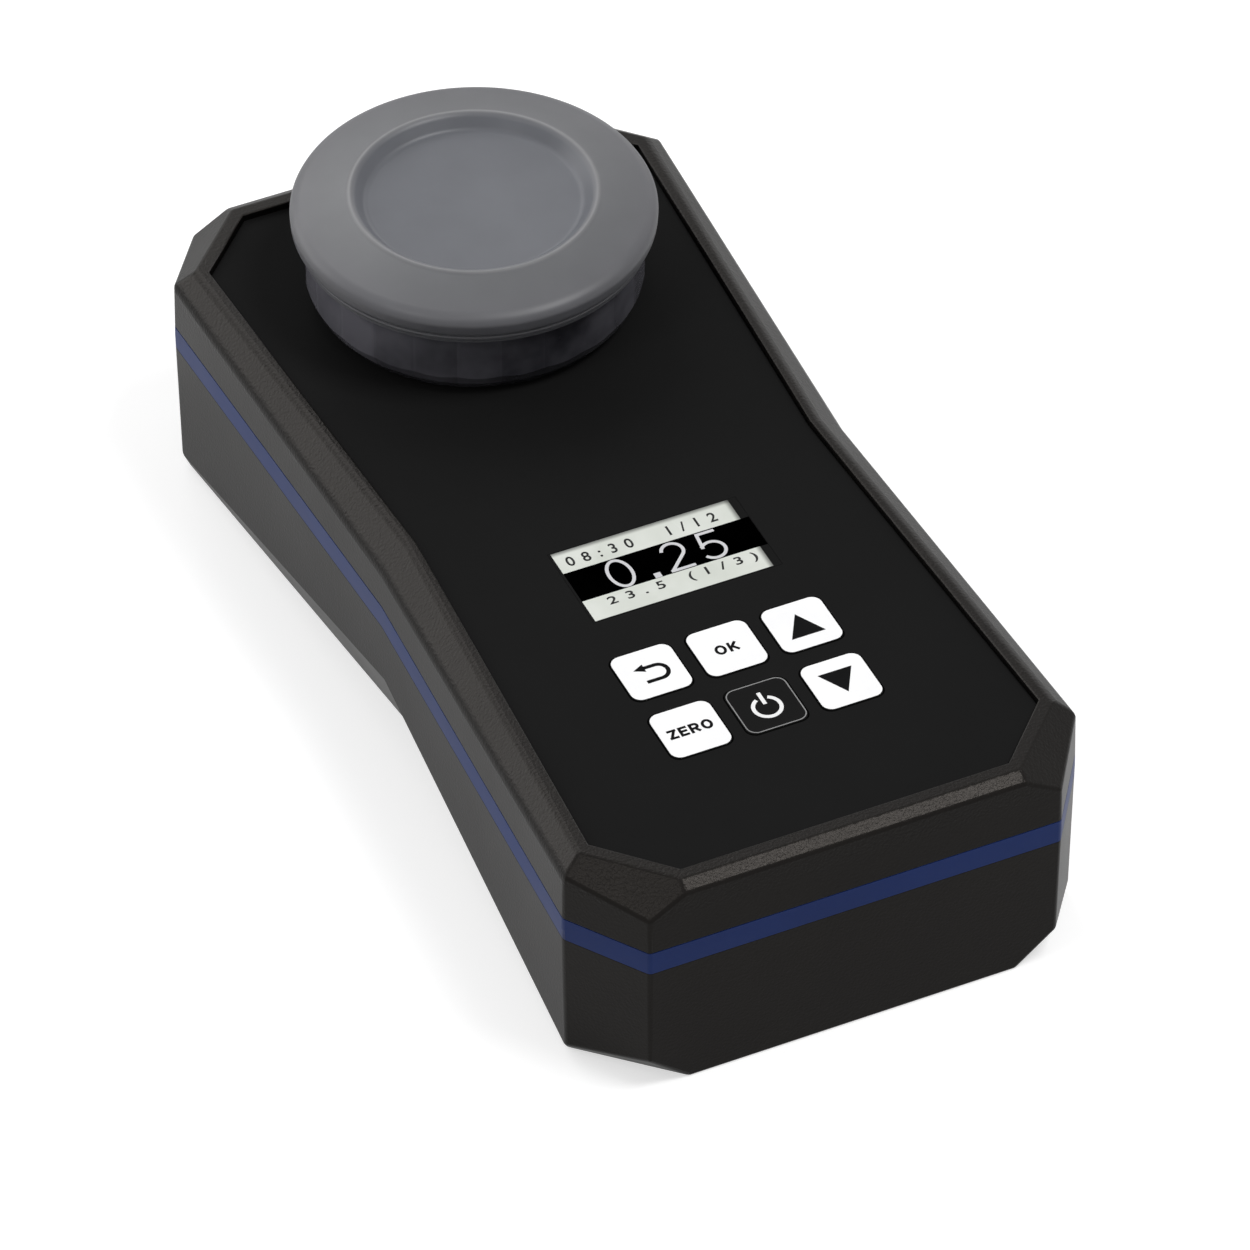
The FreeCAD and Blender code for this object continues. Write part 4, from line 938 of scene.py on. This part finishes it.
@dataclass(frozen=True)
class Rounding:
    """Radii of a moulding's outer edges, in millimetres.

    Shares are of the radius: the whole for the shoulders that run along the sides, less for the rest.
    """

    radius: float
    use: EdgeUse = EdgeUse.OUTSIDE
    # Heights of edges with a small radius, and of edges with none
    fine_levels: tuple[float, ...] = ()
    sharp_levels: tuple[float, ...] = ()
    level_slack: float = 0.02
    fine_share: float = 0.22
    plain_share: float = 0.4
    # A shoulder lies above this height, runs at least this share of its length along Y and turns by less
    # than this angle. Its share is the smaller one where it's a fine edge too.
    shoulder_above: float = 30.0
    shoulder_run: float = 0.9
    shoulder_deg: float = 60.0
    fine_shoulder_share: float = 0.65
    # An edge that turns by less than the first angle stays as it is, and shading breaks above the second
    least_angle_deg: float = 25.0
    flat_angle_deg: float = 28.0
    # Length below which an outside edge is merged away
    merge: float = 0.0
    segments: int = 4
    # Share in per cent that large faces have in the shading at their edges
    shading_weight: int = 80

    def at_level(self, heights: list[float], levels: tuple[float, ...]) -> bool:
        """Whether both ends of an edge, given by their heights, lie at one of the levels."""
        return any(all(abs(height - level) < self.level_slack for height in heights) for level in levels)

    def share(self, edge: bmesh.types.BMEdge, outside: set[int]) -> float:
        """Share of the radius that one edge gets.

        Args:
            edge: edge of the welded form.
            outside: numbers of the faces that look out into the open.

        Returns:
            A share from nought to one.
        """
        least = math.radians(self.least_angle_deg)
        if len(edge.link_faces) != 2 or edge.calc_face_angle_signed(0.0) < least:
            return 0.0
        heights = [vertex.co.z / MM for vertex in edge.verts]
        if self.at_level(heights, self.sharp_levels):
            return 0.0
        fine = self.at_level(heights, self.fine_levels)
        if self.use is EdgeUse.TOP:
            return 1.0 if fine else 0.0
        seen = sum(face.index in outside for face in edge.link_faces)
        run = (edge.verts[1].co - edge.verts[0].co).normalized()
        along = abs(run.y) > self.shoulder_run and min(heights) > self.shoulder_above
        if along and seen == 2 and edge.calc_face_angle() < math.radians(self.shoulder_deg):
            return self.fine_shoulder_share if fine else 1.0
        if fine:
            return self.fine_share if seen else 0.0
        return self.plain_share if seen == 2 else 0.0

    def add_modifiers(self, piece: bpy.types.Object) -> None:
        """Add the bevel, by the weights of the mesh's edges, and the even shading across flat faces.

        Args:
            piece: copy whose edges have their weights.
        """
        bevel = piece.modifiers.new("rounding", "BEVEL")
        bevel.limit_method = "WEIGHT"
        bevel.width = self.radius * MM
        bevel.segments = self.segments
        bevel.use_clamp_overlap = False
        bevel.miter_outer = "MITER_SHARP"
        weighting = piece.modifiers.new("shading", "WEIGHTED_NORMAL")
        weighting.keep_sharp = True
        weighting.weight = self.shading_weight


def welded(node: bpy.types.Object, title: str) -> bmesh.types.BMesh:
    """Weld a CAD node's loose triangles into one form and join its flat faces.

    Args:
        node: CAD node, which stays as it is.
        title: name of the mesh that the form is read from.

    Returns:
        The welded form, in metres.
    """
    points = np.empty(len(node.data.vertices) * 3)
    node.data.vertices.foreach_get("co", points)
    loops = np.empty(len(node.data.loops), int)
    node.data.loops.foreach_get("vertex_index", loops)
    plain = bpy.data.meshes.new(title + "_plain")
    plain.from_pydata(points.reshape(-1, 3).tolist(), [], loops.reshape(-1, 3).tolist())
    form = bmesh.new()
    form.from_mesh(plain)
    bpy.data.meshes.remove(plain)
    bmesh.ops.remove_doubles(form, verts=form.verts, dist=WELD)
    bmesh.ops.dissolve_limit(form, angle_limit=math.radians(FLAT_DEG), verts=form.verts, edges=form.edges)
    return form


def open_faces(form: bmesh.types.BMesh) -> set[int]:
    """Find the faces whose outward ray meets nothing of the same form.

    Args:
        form: closed form.

    Returns:
        Their numbers.
    """
    form.normal_update()
    form.faces.ensure_lookup_table()
    tree = BVHTree.FromBMesh(form)
    found = set()
    for face in form.faces:
        start = face.calc_center_median() + face.normal * RAY_GAP
        if tree.ray_cast(start, face.normal)[0] is None:
            found.add(face.index)
    return found


def merge_slivers(form: bmesh.types.BMesh, outside: set[int], least: float) -> set[int]:
    """Collapse the outside edges that are too short to be rounded.

    Args:
        form: welded form, in metres.
        outside: numbers of the faces that look out into the open.
        least: length in millimetres below which an edge goes.

    Returns:
        The numbers of the outward faces afterwards.
    """
    slivers = [edge for edge in form.edges if edge.calc_length() < least * MM
               and edge.link_faces and all(face.index in outside for face in edge.link_faces)]
    if not slivers:
        return outside
    bmesh.ops.collapse(form, edges=slivers)
    bmesh.ops.dissolve_degenerate(form, dist=WELD, edges=form.edges)
    form.faces.ensure_lookup_table()
    form.faces.index_update()
    return open_faces(form)


def rounded_copy(node: bpy.types.Object, title: str, rounding: Rounding) -> bpy.types.Object:
    """Copy a CAD node with its seen edges rounded, to stand in its place.

    Args:
        node: CAD node to copy.
        title: name of the new piece.
        rounding: which edges are rounded and how far.

    Returns:
        The new piece.
    """
    form = welded(node, title)
    outside = merge_slivers(form, open_faces(form), rounding.merge)
    layer = form.edges.layers.float.new("bevel_weight_edge")
    for edge in form.edges:
        edge[layer] = rounding.share(edge, outside)
    mesh = bpy.data.meshes.new(title)
    form.to_mesh(mesh)
    form.free()
    mesh.polygons.foreach_set("use_smooth", np.full(len(mesh.polygons), True))
    mesh.set_sharp_from_angle(angle=math.radians(rounding.flat_angle_deg))
    piece = new_object(title, mesh)
    rounding.add_modifiers(piece)
    return piece


@dataclass
class Assembly:
    """What every sub-assembly shares: the frame's nodes and the paintshop."""

    nodes: dict[str, bpy.types.Object]
    shop: Paintshop

    def fit(
        self, piece: bpy.types.Object, body: str, finish: Finish, slot: str, replaces: str | None = None
    ) -> None:
        """Finish a piece, tie it to a CAD body and hide the CAD node it stands for.

        Args:
            piece: new piece, in its place.
            body: CAD body that it rides on.
            finish: its surface.
            slot: the record's material slot; not used.
            replaces: CAD node that it stands for, if any.
        """
        self.shop.paint(piece, finish)
        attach(piece, body)
        if replaces:
            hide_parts(replaces)
        LOG.info("piece %s on %s", piece.name, body)


@dataclass
class Housing(Assembly):
    """Upper shell, lower shell and blue band. Sizes are heights and radii of their seen edges."""

    corner_radius: float = 1.0
    merge: float = 0.3
    seal_low: float = 21.95
    seal_high: float = 25.65
    top: float = 35.7
    seam_share: float = 0.15
    flat_angle_deg: float = 12.0

    def build(self) -> None:
        """Round the mouldings' outer edges and finish them."""
        upper = Rounding(self.corner_radius, fine_levels=(self.seal_high, self.top), merge=self.merge,
                         flat_angle_deg=self.flat_angle_deg)
        lower = replace(upper, fine_levels=(self.seal_low,), fine_share=self.seam_share)
        band = replace(lower, sharp_levels=(self.seal_low, self.seal_high))
        for node, title, rounding, finish, slot in (
                ("upper_shell", "upper_shell_moulding", upper, HOUSING_ABS, "housing_plastic"),
                ("lower_shell", "lower_shell_moulding", lower, HOUSING_ABS, "housing_plastic"),
                ("housing_seal", "housing_seal_band", band, SEAL_TPE, "blue_elastomer")):
            self.fit(rounded_copy(self.nodes[node], title, rounding), HOUSING, finish, slot, node)


@dataclass
class LightCap(Assembly):
    """The silicone cap over the measuring well."""

    around: int = 160
    # Radius, height and the cut that rounds each corner, in millimetres: dish and ridge, then the outer
    # slope and rim, the bead and lip below it, and the hollow plug
    corners: tuple[tuple[float, float, float], ...] = (
        (0.0, 50.35, 0.0), (15.35, 50.35, 0.6), (16.85, 52.1, 0.45), (17.45, 52.3, 0.17),
        (18.0, 52.05, 0.3), (24.6, 50.6, 0.5), (25.5, 50.0, 0.45), (25.9, 49.2, 0.3), (25.8, 47.5, 0.5),
        (25.2, 46.95, 0.15), (25.05, 46.75, 0.06), (25.2, 46.6, 0.08), (25.15, 46.2, 0.1),
        (24.95, 46.0, 0.06), (24.95, 45.6, 0.15), (24.25, 45.6, 0.2), (24.25, 46.4, 0.15),
        (16.8, 46.4, 0.15), (16.8, 40.8, 0.4), (14.4, 40.8, 0.4), (14.4, 46.4, 0.4), (0.0, 46.4, 0.0))

    def build(self) -> None:
        """Turn the cap from its profile."""
        rows = np.array(self.corners)
        profile = rounded_line(rows[:, :2], rows[1:-1, 2])
        cap = turned_surface("light_cap_silicone", profile, WELL_Y, self.around)
        self.fit(cap, CAP, CAP_SILICONE, "cap_silicone", "light_cap")


@dataclass
class Keypad(Assembly):
    """Six keys with their symbols. Sizes are in millimetres, and places are from a key's centre."""

    face: float = 34.85
    print_level: float = 34.86
    ink: float = 0.01
    edge: float = 0.12
    edge_segments: int = 3
    # Width, length and corner radius of the white pads and of the power key's outline
    pad: tuple[float, float, float] = (8.95, 9.15, 1.5)
    outline: tuple[float, float, float] = (8.75, 8.95, 1.45)
    outline_width: float = 0.16
    # Text and width of each word, by key
    words: tuple[tuple[str, str, float], ...] = (("key_ok", "OK", 3.5), ("key_zero", "ZERO", 6.5))
    letter_height: float = 1.85
    letter_stroke: float = 0.42
    triangle_width: float = 5.1
    triangle_height: float = 4.5
    arrow_stroke: float = 0.62
    arrow_head: tuple[tuple[float, float], ...] = ((-2.2, 1.11), (-0.6, 0.32), (-0.6, 1.9))
    arrow_start: tuple[float, float] = (-0.7, 1.11)
    bend_middle: tuple[float, float] = (0.92, -0.27)
    bend_radius: float = 1.38
    arrow_end: tuple[float, float] = (-1.35, -1.65)
    power_stroke: float = 0.56
    ring_middle: tuple[float, float] = (0.0, -0.37)
    ring_radius: float = 1.93
    ring_gap_deg: float = 25.0
    bar: tuple[tuple[float, float], ...] = ((0.0, 0.25), (0.0, 2.65))

    def place(self, key: str) -> np.ndarray:
        """Centre of a key's face along X and Y, read from its CAD node."""
        low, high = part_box(key)
        return np.array([(low.x + high.x) / 2, (low.y + high.y) / 2]) / MM

    def stamp(self, flat: bpy.types.Object, key: str, finish: Finish) -> None:
        """Give a flat symbol its thickness and print it on a key, which carries it."""
        thicken(flat, self.ink)
        self.fit(flat, key, finish, "key_plastic")

    def build_faces(self) -> None:
        """Round the key faces and print the white pads."""
        rounding = Rounding(self.edge, EdgeUse.TOP, (self.face,), segments=self.edge_segments)
        pad_line = rounded_rectangle(*self.pad)
        for key in ("key_back", "key_ok", "key_up", "key_zero", "key_power", "key_down"):
            cap = rounded_copy(self.nodes[key], key + "_cap", rounding)
            self.fit(cap, key, KEY_FILM, "key_plastic", key)
            if key != "key_power":
                self.stamp(flat_face(key + "_pad", pad_line + self.place(key), self.face), key, KEY_WHITE)

    def print_triangles(self) -> None:
        """Print the up and down triangles, one turned half round from the other."""
        half, tall = self.triangle_width / 2, self.triangle_height / 2
        triangle = np.array([[-half, -tall], [half, -tall], [0, tall]])
        for key, way in (("key_up", 1), ("key_down", -1)):
            flat = flat_face(key + "_triangle", triangle * way + self.place(key), self.print_level)
            self.stamp(flat, key, INK_BLACK)

    def print_words(self) -> None:
        """Print the function words."""
        for key, text, width in self.words:
            word = StrokeText(text, width, self.letter_height, self.letter_stroke)
            self.stamp(word.build(key + "_word", self.place(key), self.print_level), key, INK_BLACK)

    def print_back(self) -> None:
        """Print the back arrow: a run, a half circle and a run back, with its head."""
        back = self.place("key_back")
        bend = oval(self.bend_middle, (self.bend_radius, self.bend_radius), 90, -90, 25)
        line = np.vstack([self.arrow_start, bend, self.arrow_end]) + back
        stroke = flat_strokes("key_back_stroke", [(line, False)], self.arrow_stroke, self.print_level)
        self.stamp(stroke, "key_back", INK_BLACK)
        head = flat_face("key_back_head", self.arrow_head + back, self.print_level)
        self.stamp(head, "key_back", INK_BLACK)

    def print_power(self) -> None:
        """Print the power sign, an open ring with a bar, and its rounded outline."""
        power = self.place("key_power")
        ring = oval(self.ring_middle, (self.ring_radius, self.ring_radius),
                    90 + self.ring_gap_deg, 450 - self.ring_gap_deg, 49)
        for title, line in (("key_power_ring", ring), ("key_power_bar", np.array(self.bar))):
            sign = flat_strokes(title, [(line + power, False)], self.power_stroke, self.face)
            self.stamp(sign, "key_power", INK_WHITE)
        edge = rounded_rectangle(*self.outline) + power
        frame = flat_strokes("key_power_outline", [(edge, True)], self.outline_width, self.face)
        self.stamp(frame, "key_power", INK_GREY)

    def build(self) -> None:
        """Build the key faces, then print their symbols."""
        self.build_faces()
        self.print_triangles()
        self.print_words()
        self.print_back()
        self.print_power()


@dataclass
class Display(Assembly):
    """Light fields, dark band and figures under the display cover. Sizes are in millimetres."""

    level: float = 34.7
    layer: float = 0.012
    left: float = -13.85
    band_right: float = 14.15
    near: float = -24.0
    band_near: float = -19.65
    band_far: float = -13.47
    figure_width: float = 3.8
    figure_height: float = 5.8
    figure_stroke: float = 0.5
    figure_y: float = -16.6
    # Name, text and place along X of each large figure
    figures: tuple[tuple[str, str, float], ...] = (
        ("units", "0", -6.7), ("tenths", "2", 1.7), ("hundredths", "5", 7.1))
    point_side: float = 1.0
    point: tuple[float, float] = (-2.2, -19.1)
    lines: tuple[tuple[str, Lettering], ...] = (
        ("display_far_line", Lettering("08:30  1/12", 22.6, 1.95, (-1.2, -11.5))),
        ("display_near_line", Lettering("23.5 (1/3)", 22.4, 2.05, (0.6, -21.3))))

    def lay(self, flat: bpy.types.Object, finish: Finish) -> None:
        """Give a flat shape its thickness and fix it on the housing."""
        thicken(flat, self.layer)
        self.fit(flat, HOUSING, finish, "clear_window")

    def lay_block(
        self, title: str, low: tuple[float, float], high: tuple[float, float], level: float, finish: Finish
    ) -> None:
        """Lay a rectangle with its sides along X and Y.

        Args:
            title: name of the piece.
            low: its left and near edges.
            high: its right and far edges.
            level: height of its underside.
            finish: its surface.
        """
        corners = np.array([low, (high[0], low[1]), high, (low[0], high[1])])
        self.lay(flat_face(title, corners, level), finish)

    def build(self) -> None:
        """Lay the light fields and the band, then the figures on them."""
        for title, near, right, far, finish in (
                ("display_field_far", self.band_far, FIELD_RIGHT, FIELD_FAR, DISPLAY_LIGHT),
                ("display_field_near", self.near, FIELD_RIGHT, self.band_near, DISPLAY_LIGHT),
                ("display_band", self.band_near, self.band_right, self.band_far, DISPLAY_BAND)):
            self.lay_block(title, (self.left, near), (right, far), self.level, finish)
        above = self.level + self.layer
        for title, text, x in self.figures:
            figure = StrokeText(text, self.figure_width, self.figure_height, self.figure_stroke)
            self.lay(figure.build("display_" + title, np.array([x, self.figure_y]), above), DISPLAY_BRIGHT)
        x, y, half = *self.point, self.point_side / 2
        self.lay_block("display_point", (x - half, y - half), (x + half, y + half), above, DISPLAY_BRIGHT)
        for title, line in self.lines:
            self.lay(line.build(title, above), DISPLAY_DARK)


@dataclass(frozen=True)
class Softbox:
    """A square area lamp that faces the object, with its size and distance in millimetres."""

    title: str
    direction: tuple[float, float, float]
    distance: float
    side: float
    power: float
    aim_height: float = 20.0

    def build(self) -> None:
        """Hang the lamp and turn it to the object."""
        lamp = bpy.data.lights.new(self.title, "AREA")
        lamp.shape = "SQUARE"
        lamp.size = self.side * MM
        lamp.energy = self.power
        holder = new_object(self.title, lamp)
        towards = Vector(self.direction).normalized()
        holder.location = towards * self.distance * MM + Vector((0, 0, self.aim_height * MM))
        holder.rotation_mode = "QUATERNION"
        holder.rotation_quaternion = towards.to_track_quat("Z", "Y")


@dataclass
class Studio:
    """White surround, pale floor, soft lamps and the photograph's camera."""

    # Camera as fitted to the photograph: millimetres and degrees, clip distances in metres
    focal: float = 288.208
    sensor: float = 36.0
    clip_near: float = 0.05
    clip_far: float = 50.0
    azimuth: float = 24.651
    elevation: float = 42.587
    roll: float = -0.173
    distance: float = 1405.1
    target: tuple[float, float, float] = (3.112, 3.332, 4.685)
    # Grey of the fill light, grey and glow of the floor, and how much of the glow a gloss shows
    fill: float = 0.3
    floor_tone: float = 0.6
    floor_glow: float = 0.6
    gloss_glow: float = 0.5
    floor_half: float = 6000.0
    floor_drop: float = 0.02
    softboxes: tuple[Softbox, ...] = (
        Softbox("front softbox", (0.31, -0.29, 0.9), 1200, 380, 6.6),
        Softbox("corner softbox", (-0.573, -0.196, 0.797), 1200, 260, 1.3),
        Softbox("overhead softbox", (-0.05, 0.75, 0.65), 1300, 760, 4.4),
        Softbox("left softbox", (-0.62, 0.7, 0.36), 1300, 760, 5.2),
        Softbox("rear softbox", (0.7, 0.67, 0.28), 1400, 600, 1.0))

    def seen_share(self, tree: bpy.types.NodeTree, gloss_share: float) -> bpy.types.NodeSocket:
        """One for rays that look at the surround straight or through glass, and a share for gloss.

        Args:
            tree: node tree of the world or the floor.
            gloss_share: value for glossy rays.

        Returns:
            The socket that carries the value, nought for all other rays.
        """
        path = add_node(tree, "ShaderNodeLightPath")
        dimmed = add_node(tree, "ShaderNodeMath", {"operation": "MULTIPLY"}, {
            0: path.outputs["Is Glossy Ray"], 1: gloss_share})
        gloss = add_node(tree, "ShaderNodeMath", {"operation": "MAXIMUM"}, {
            0: path.outputs["Is Camera Ray"], 1: dimmed.outputs["Value"]})
        share = add_node(tree, "ShaderNodeMath", {"operation": "MAXIMUM"}, {
            0: gloss.outputs["Value"], 1: path.outputs["Is Transmission Ray"]})
        return share.outputs["Value"]

    def build_world(self) -> None:
        """Plain grey fill light that shows as a white surround."""
        world = bpy.data.worlds.new("studio surround")
        bpy.context.scene.world = world
        world.use_nodes = True
        tree = world.node_tree
        tree.nodes.clear()
        fill, white = [
            add_node(tree, "ShaderNodeBackground", {}, {"Color": (level, level, level, 1.0), "Strength": 1.0})
            for level in (self.fill, 1.0)]
        mix = add_node(tree, "ShaderNodeMixShader", {}, {
            0: self.seen_share(tree, 1.0), 1: fill.outputs["Background"], 2: white.outputs["Background"]})
        add_node(tree, "ShaderNodeOutputWorld", {}, {"Surface": mix.outputs["Shader"]})

    def floor_paint(self) -> bpy.types.Material:
        """Matt pale paint that takes the object's shadow, shows white elsewhere and is clear from below.

        Returns:
            The floor's material.
        """
        material = bpy.data.materials.new("painted studio floor")
        material.use_nodes = True
        tree = material.node_tree
        tree.nodes.clear()
        tone = self.floor_tone
        paint = add_node(tree, "ShaderNodeBsdfDiffuse", {}, {"Color": (tone, tone, tone, 1.0)})
        glow = add_node(tree, "ShaderNodeEmission", {}, {
            "Color": (1.0, 1.0, 1.0, 1.0), "Strength": self.floor_glow})
        both = add_node(tree, "ShaderNodeAddShader", {}, {
            0: paint.outputs["BSDF"], 1: glow.outputs["Emission"]})
        mix = add_node(tree, "ShaderNodeMixShader", {}, {
            0: self.seen_share(tree, self.gloss_glow), 1: paint.outputs["BSDF"], 2: both.outputs["Shader"]})
        sided = add_node(tree, "ShaderNodeMixShader", {}, {
            0: add_node(tree, "ShaderNodeNewGeometry").outputs["Backfacing"], 1: mix.outputs["Shader"],
            2: add_node(tree, "ShaderNodeBsdfTransparent").outputs["BSDF"]})
        add_node(tree, "ShaderNodeOutputMaterial", {}, {"Surface": sided.outputs["Shader"]})
        return material

    def build_floor(self) -> None:
        """Lay the floor a hair under the base, so that the two don't share a plane."""
        half = self.floor_half
        corners = np.array([[-half, -half], [half, -half], [half, half], [-half, half]])
        floor = flat_face("studio_floor", corners, -self.floor_drop)
        floor.data.materials.append(self.floor_paint())

    def build_camera(self) -> None:
        """Camera at the photograph's place, aimed and rolled as fitted."""
        lens = bpy.data.cameras.new("studio camera")
        lens.lens = self.focal
        lens.sensor_width = self.sensor
        lens.clip_start, lens.clip_end = self.clip_near, self.clip_far
        camera = new_object("studio camera", lens)
        turn, rise = math.radians(self.azimuth), math.radians(self.elevation)
        ahead = Vector((math.sin(turn) * math.cos(rise), math.cos(turn) * math.cos(rise), -math.sin(rise)))
        aim = ahead.to_track_quat("-Z", "Y").to_matrix() @ Matrix.Rotation(math.radians(self.roll), 3, "Z")
        camera.rotation_mode = "QUATERNION"
        camera.rotation_quaternion = aim.to_quaternion()
        camera.location = (Vector(self.target) - ahead * self.distance) * MM
        bpy.context.scene.camera = camera

    def build(self) -> None:
        """Set up the whole studio."""
        bpy.context.scene.view_settings.view_transform = "Standard"
        self.build_world()
        self.build_floor()
        for softbox in self.softboxes:
            softbox.build()
        self.build_camera()


def paint_nodes(nodes: dict[str, bpy.types.Object], shop: Paintshop) -> None:
    """Finish the CAD nodes that stay as they are.

    Args:
        nodes: CAD nodes by name.
        shop: paintshop that makes each finish once.
    """
    for finish, names in NODE_FINISHES.items():
        for name in names:
            shop.paint(nodes[name], finish)
            LOG.info("node %s is %s", name, finish.title)


def main() -> None:
    """Load the frame, build each sub-assembly and set up the studio."""
    logging.basicConfig(level=logging.INFO, format="%(message)s")
    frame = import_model()
    nodes, shop = frame["nodes"], Paintshop()
    paint_nodes(nodes, shop)
    for part in (Housing, Display, Keypad, LightCap):
        part(nodes, shop).build()
    Studio().build()


if __name__ == "__main__":
    main()
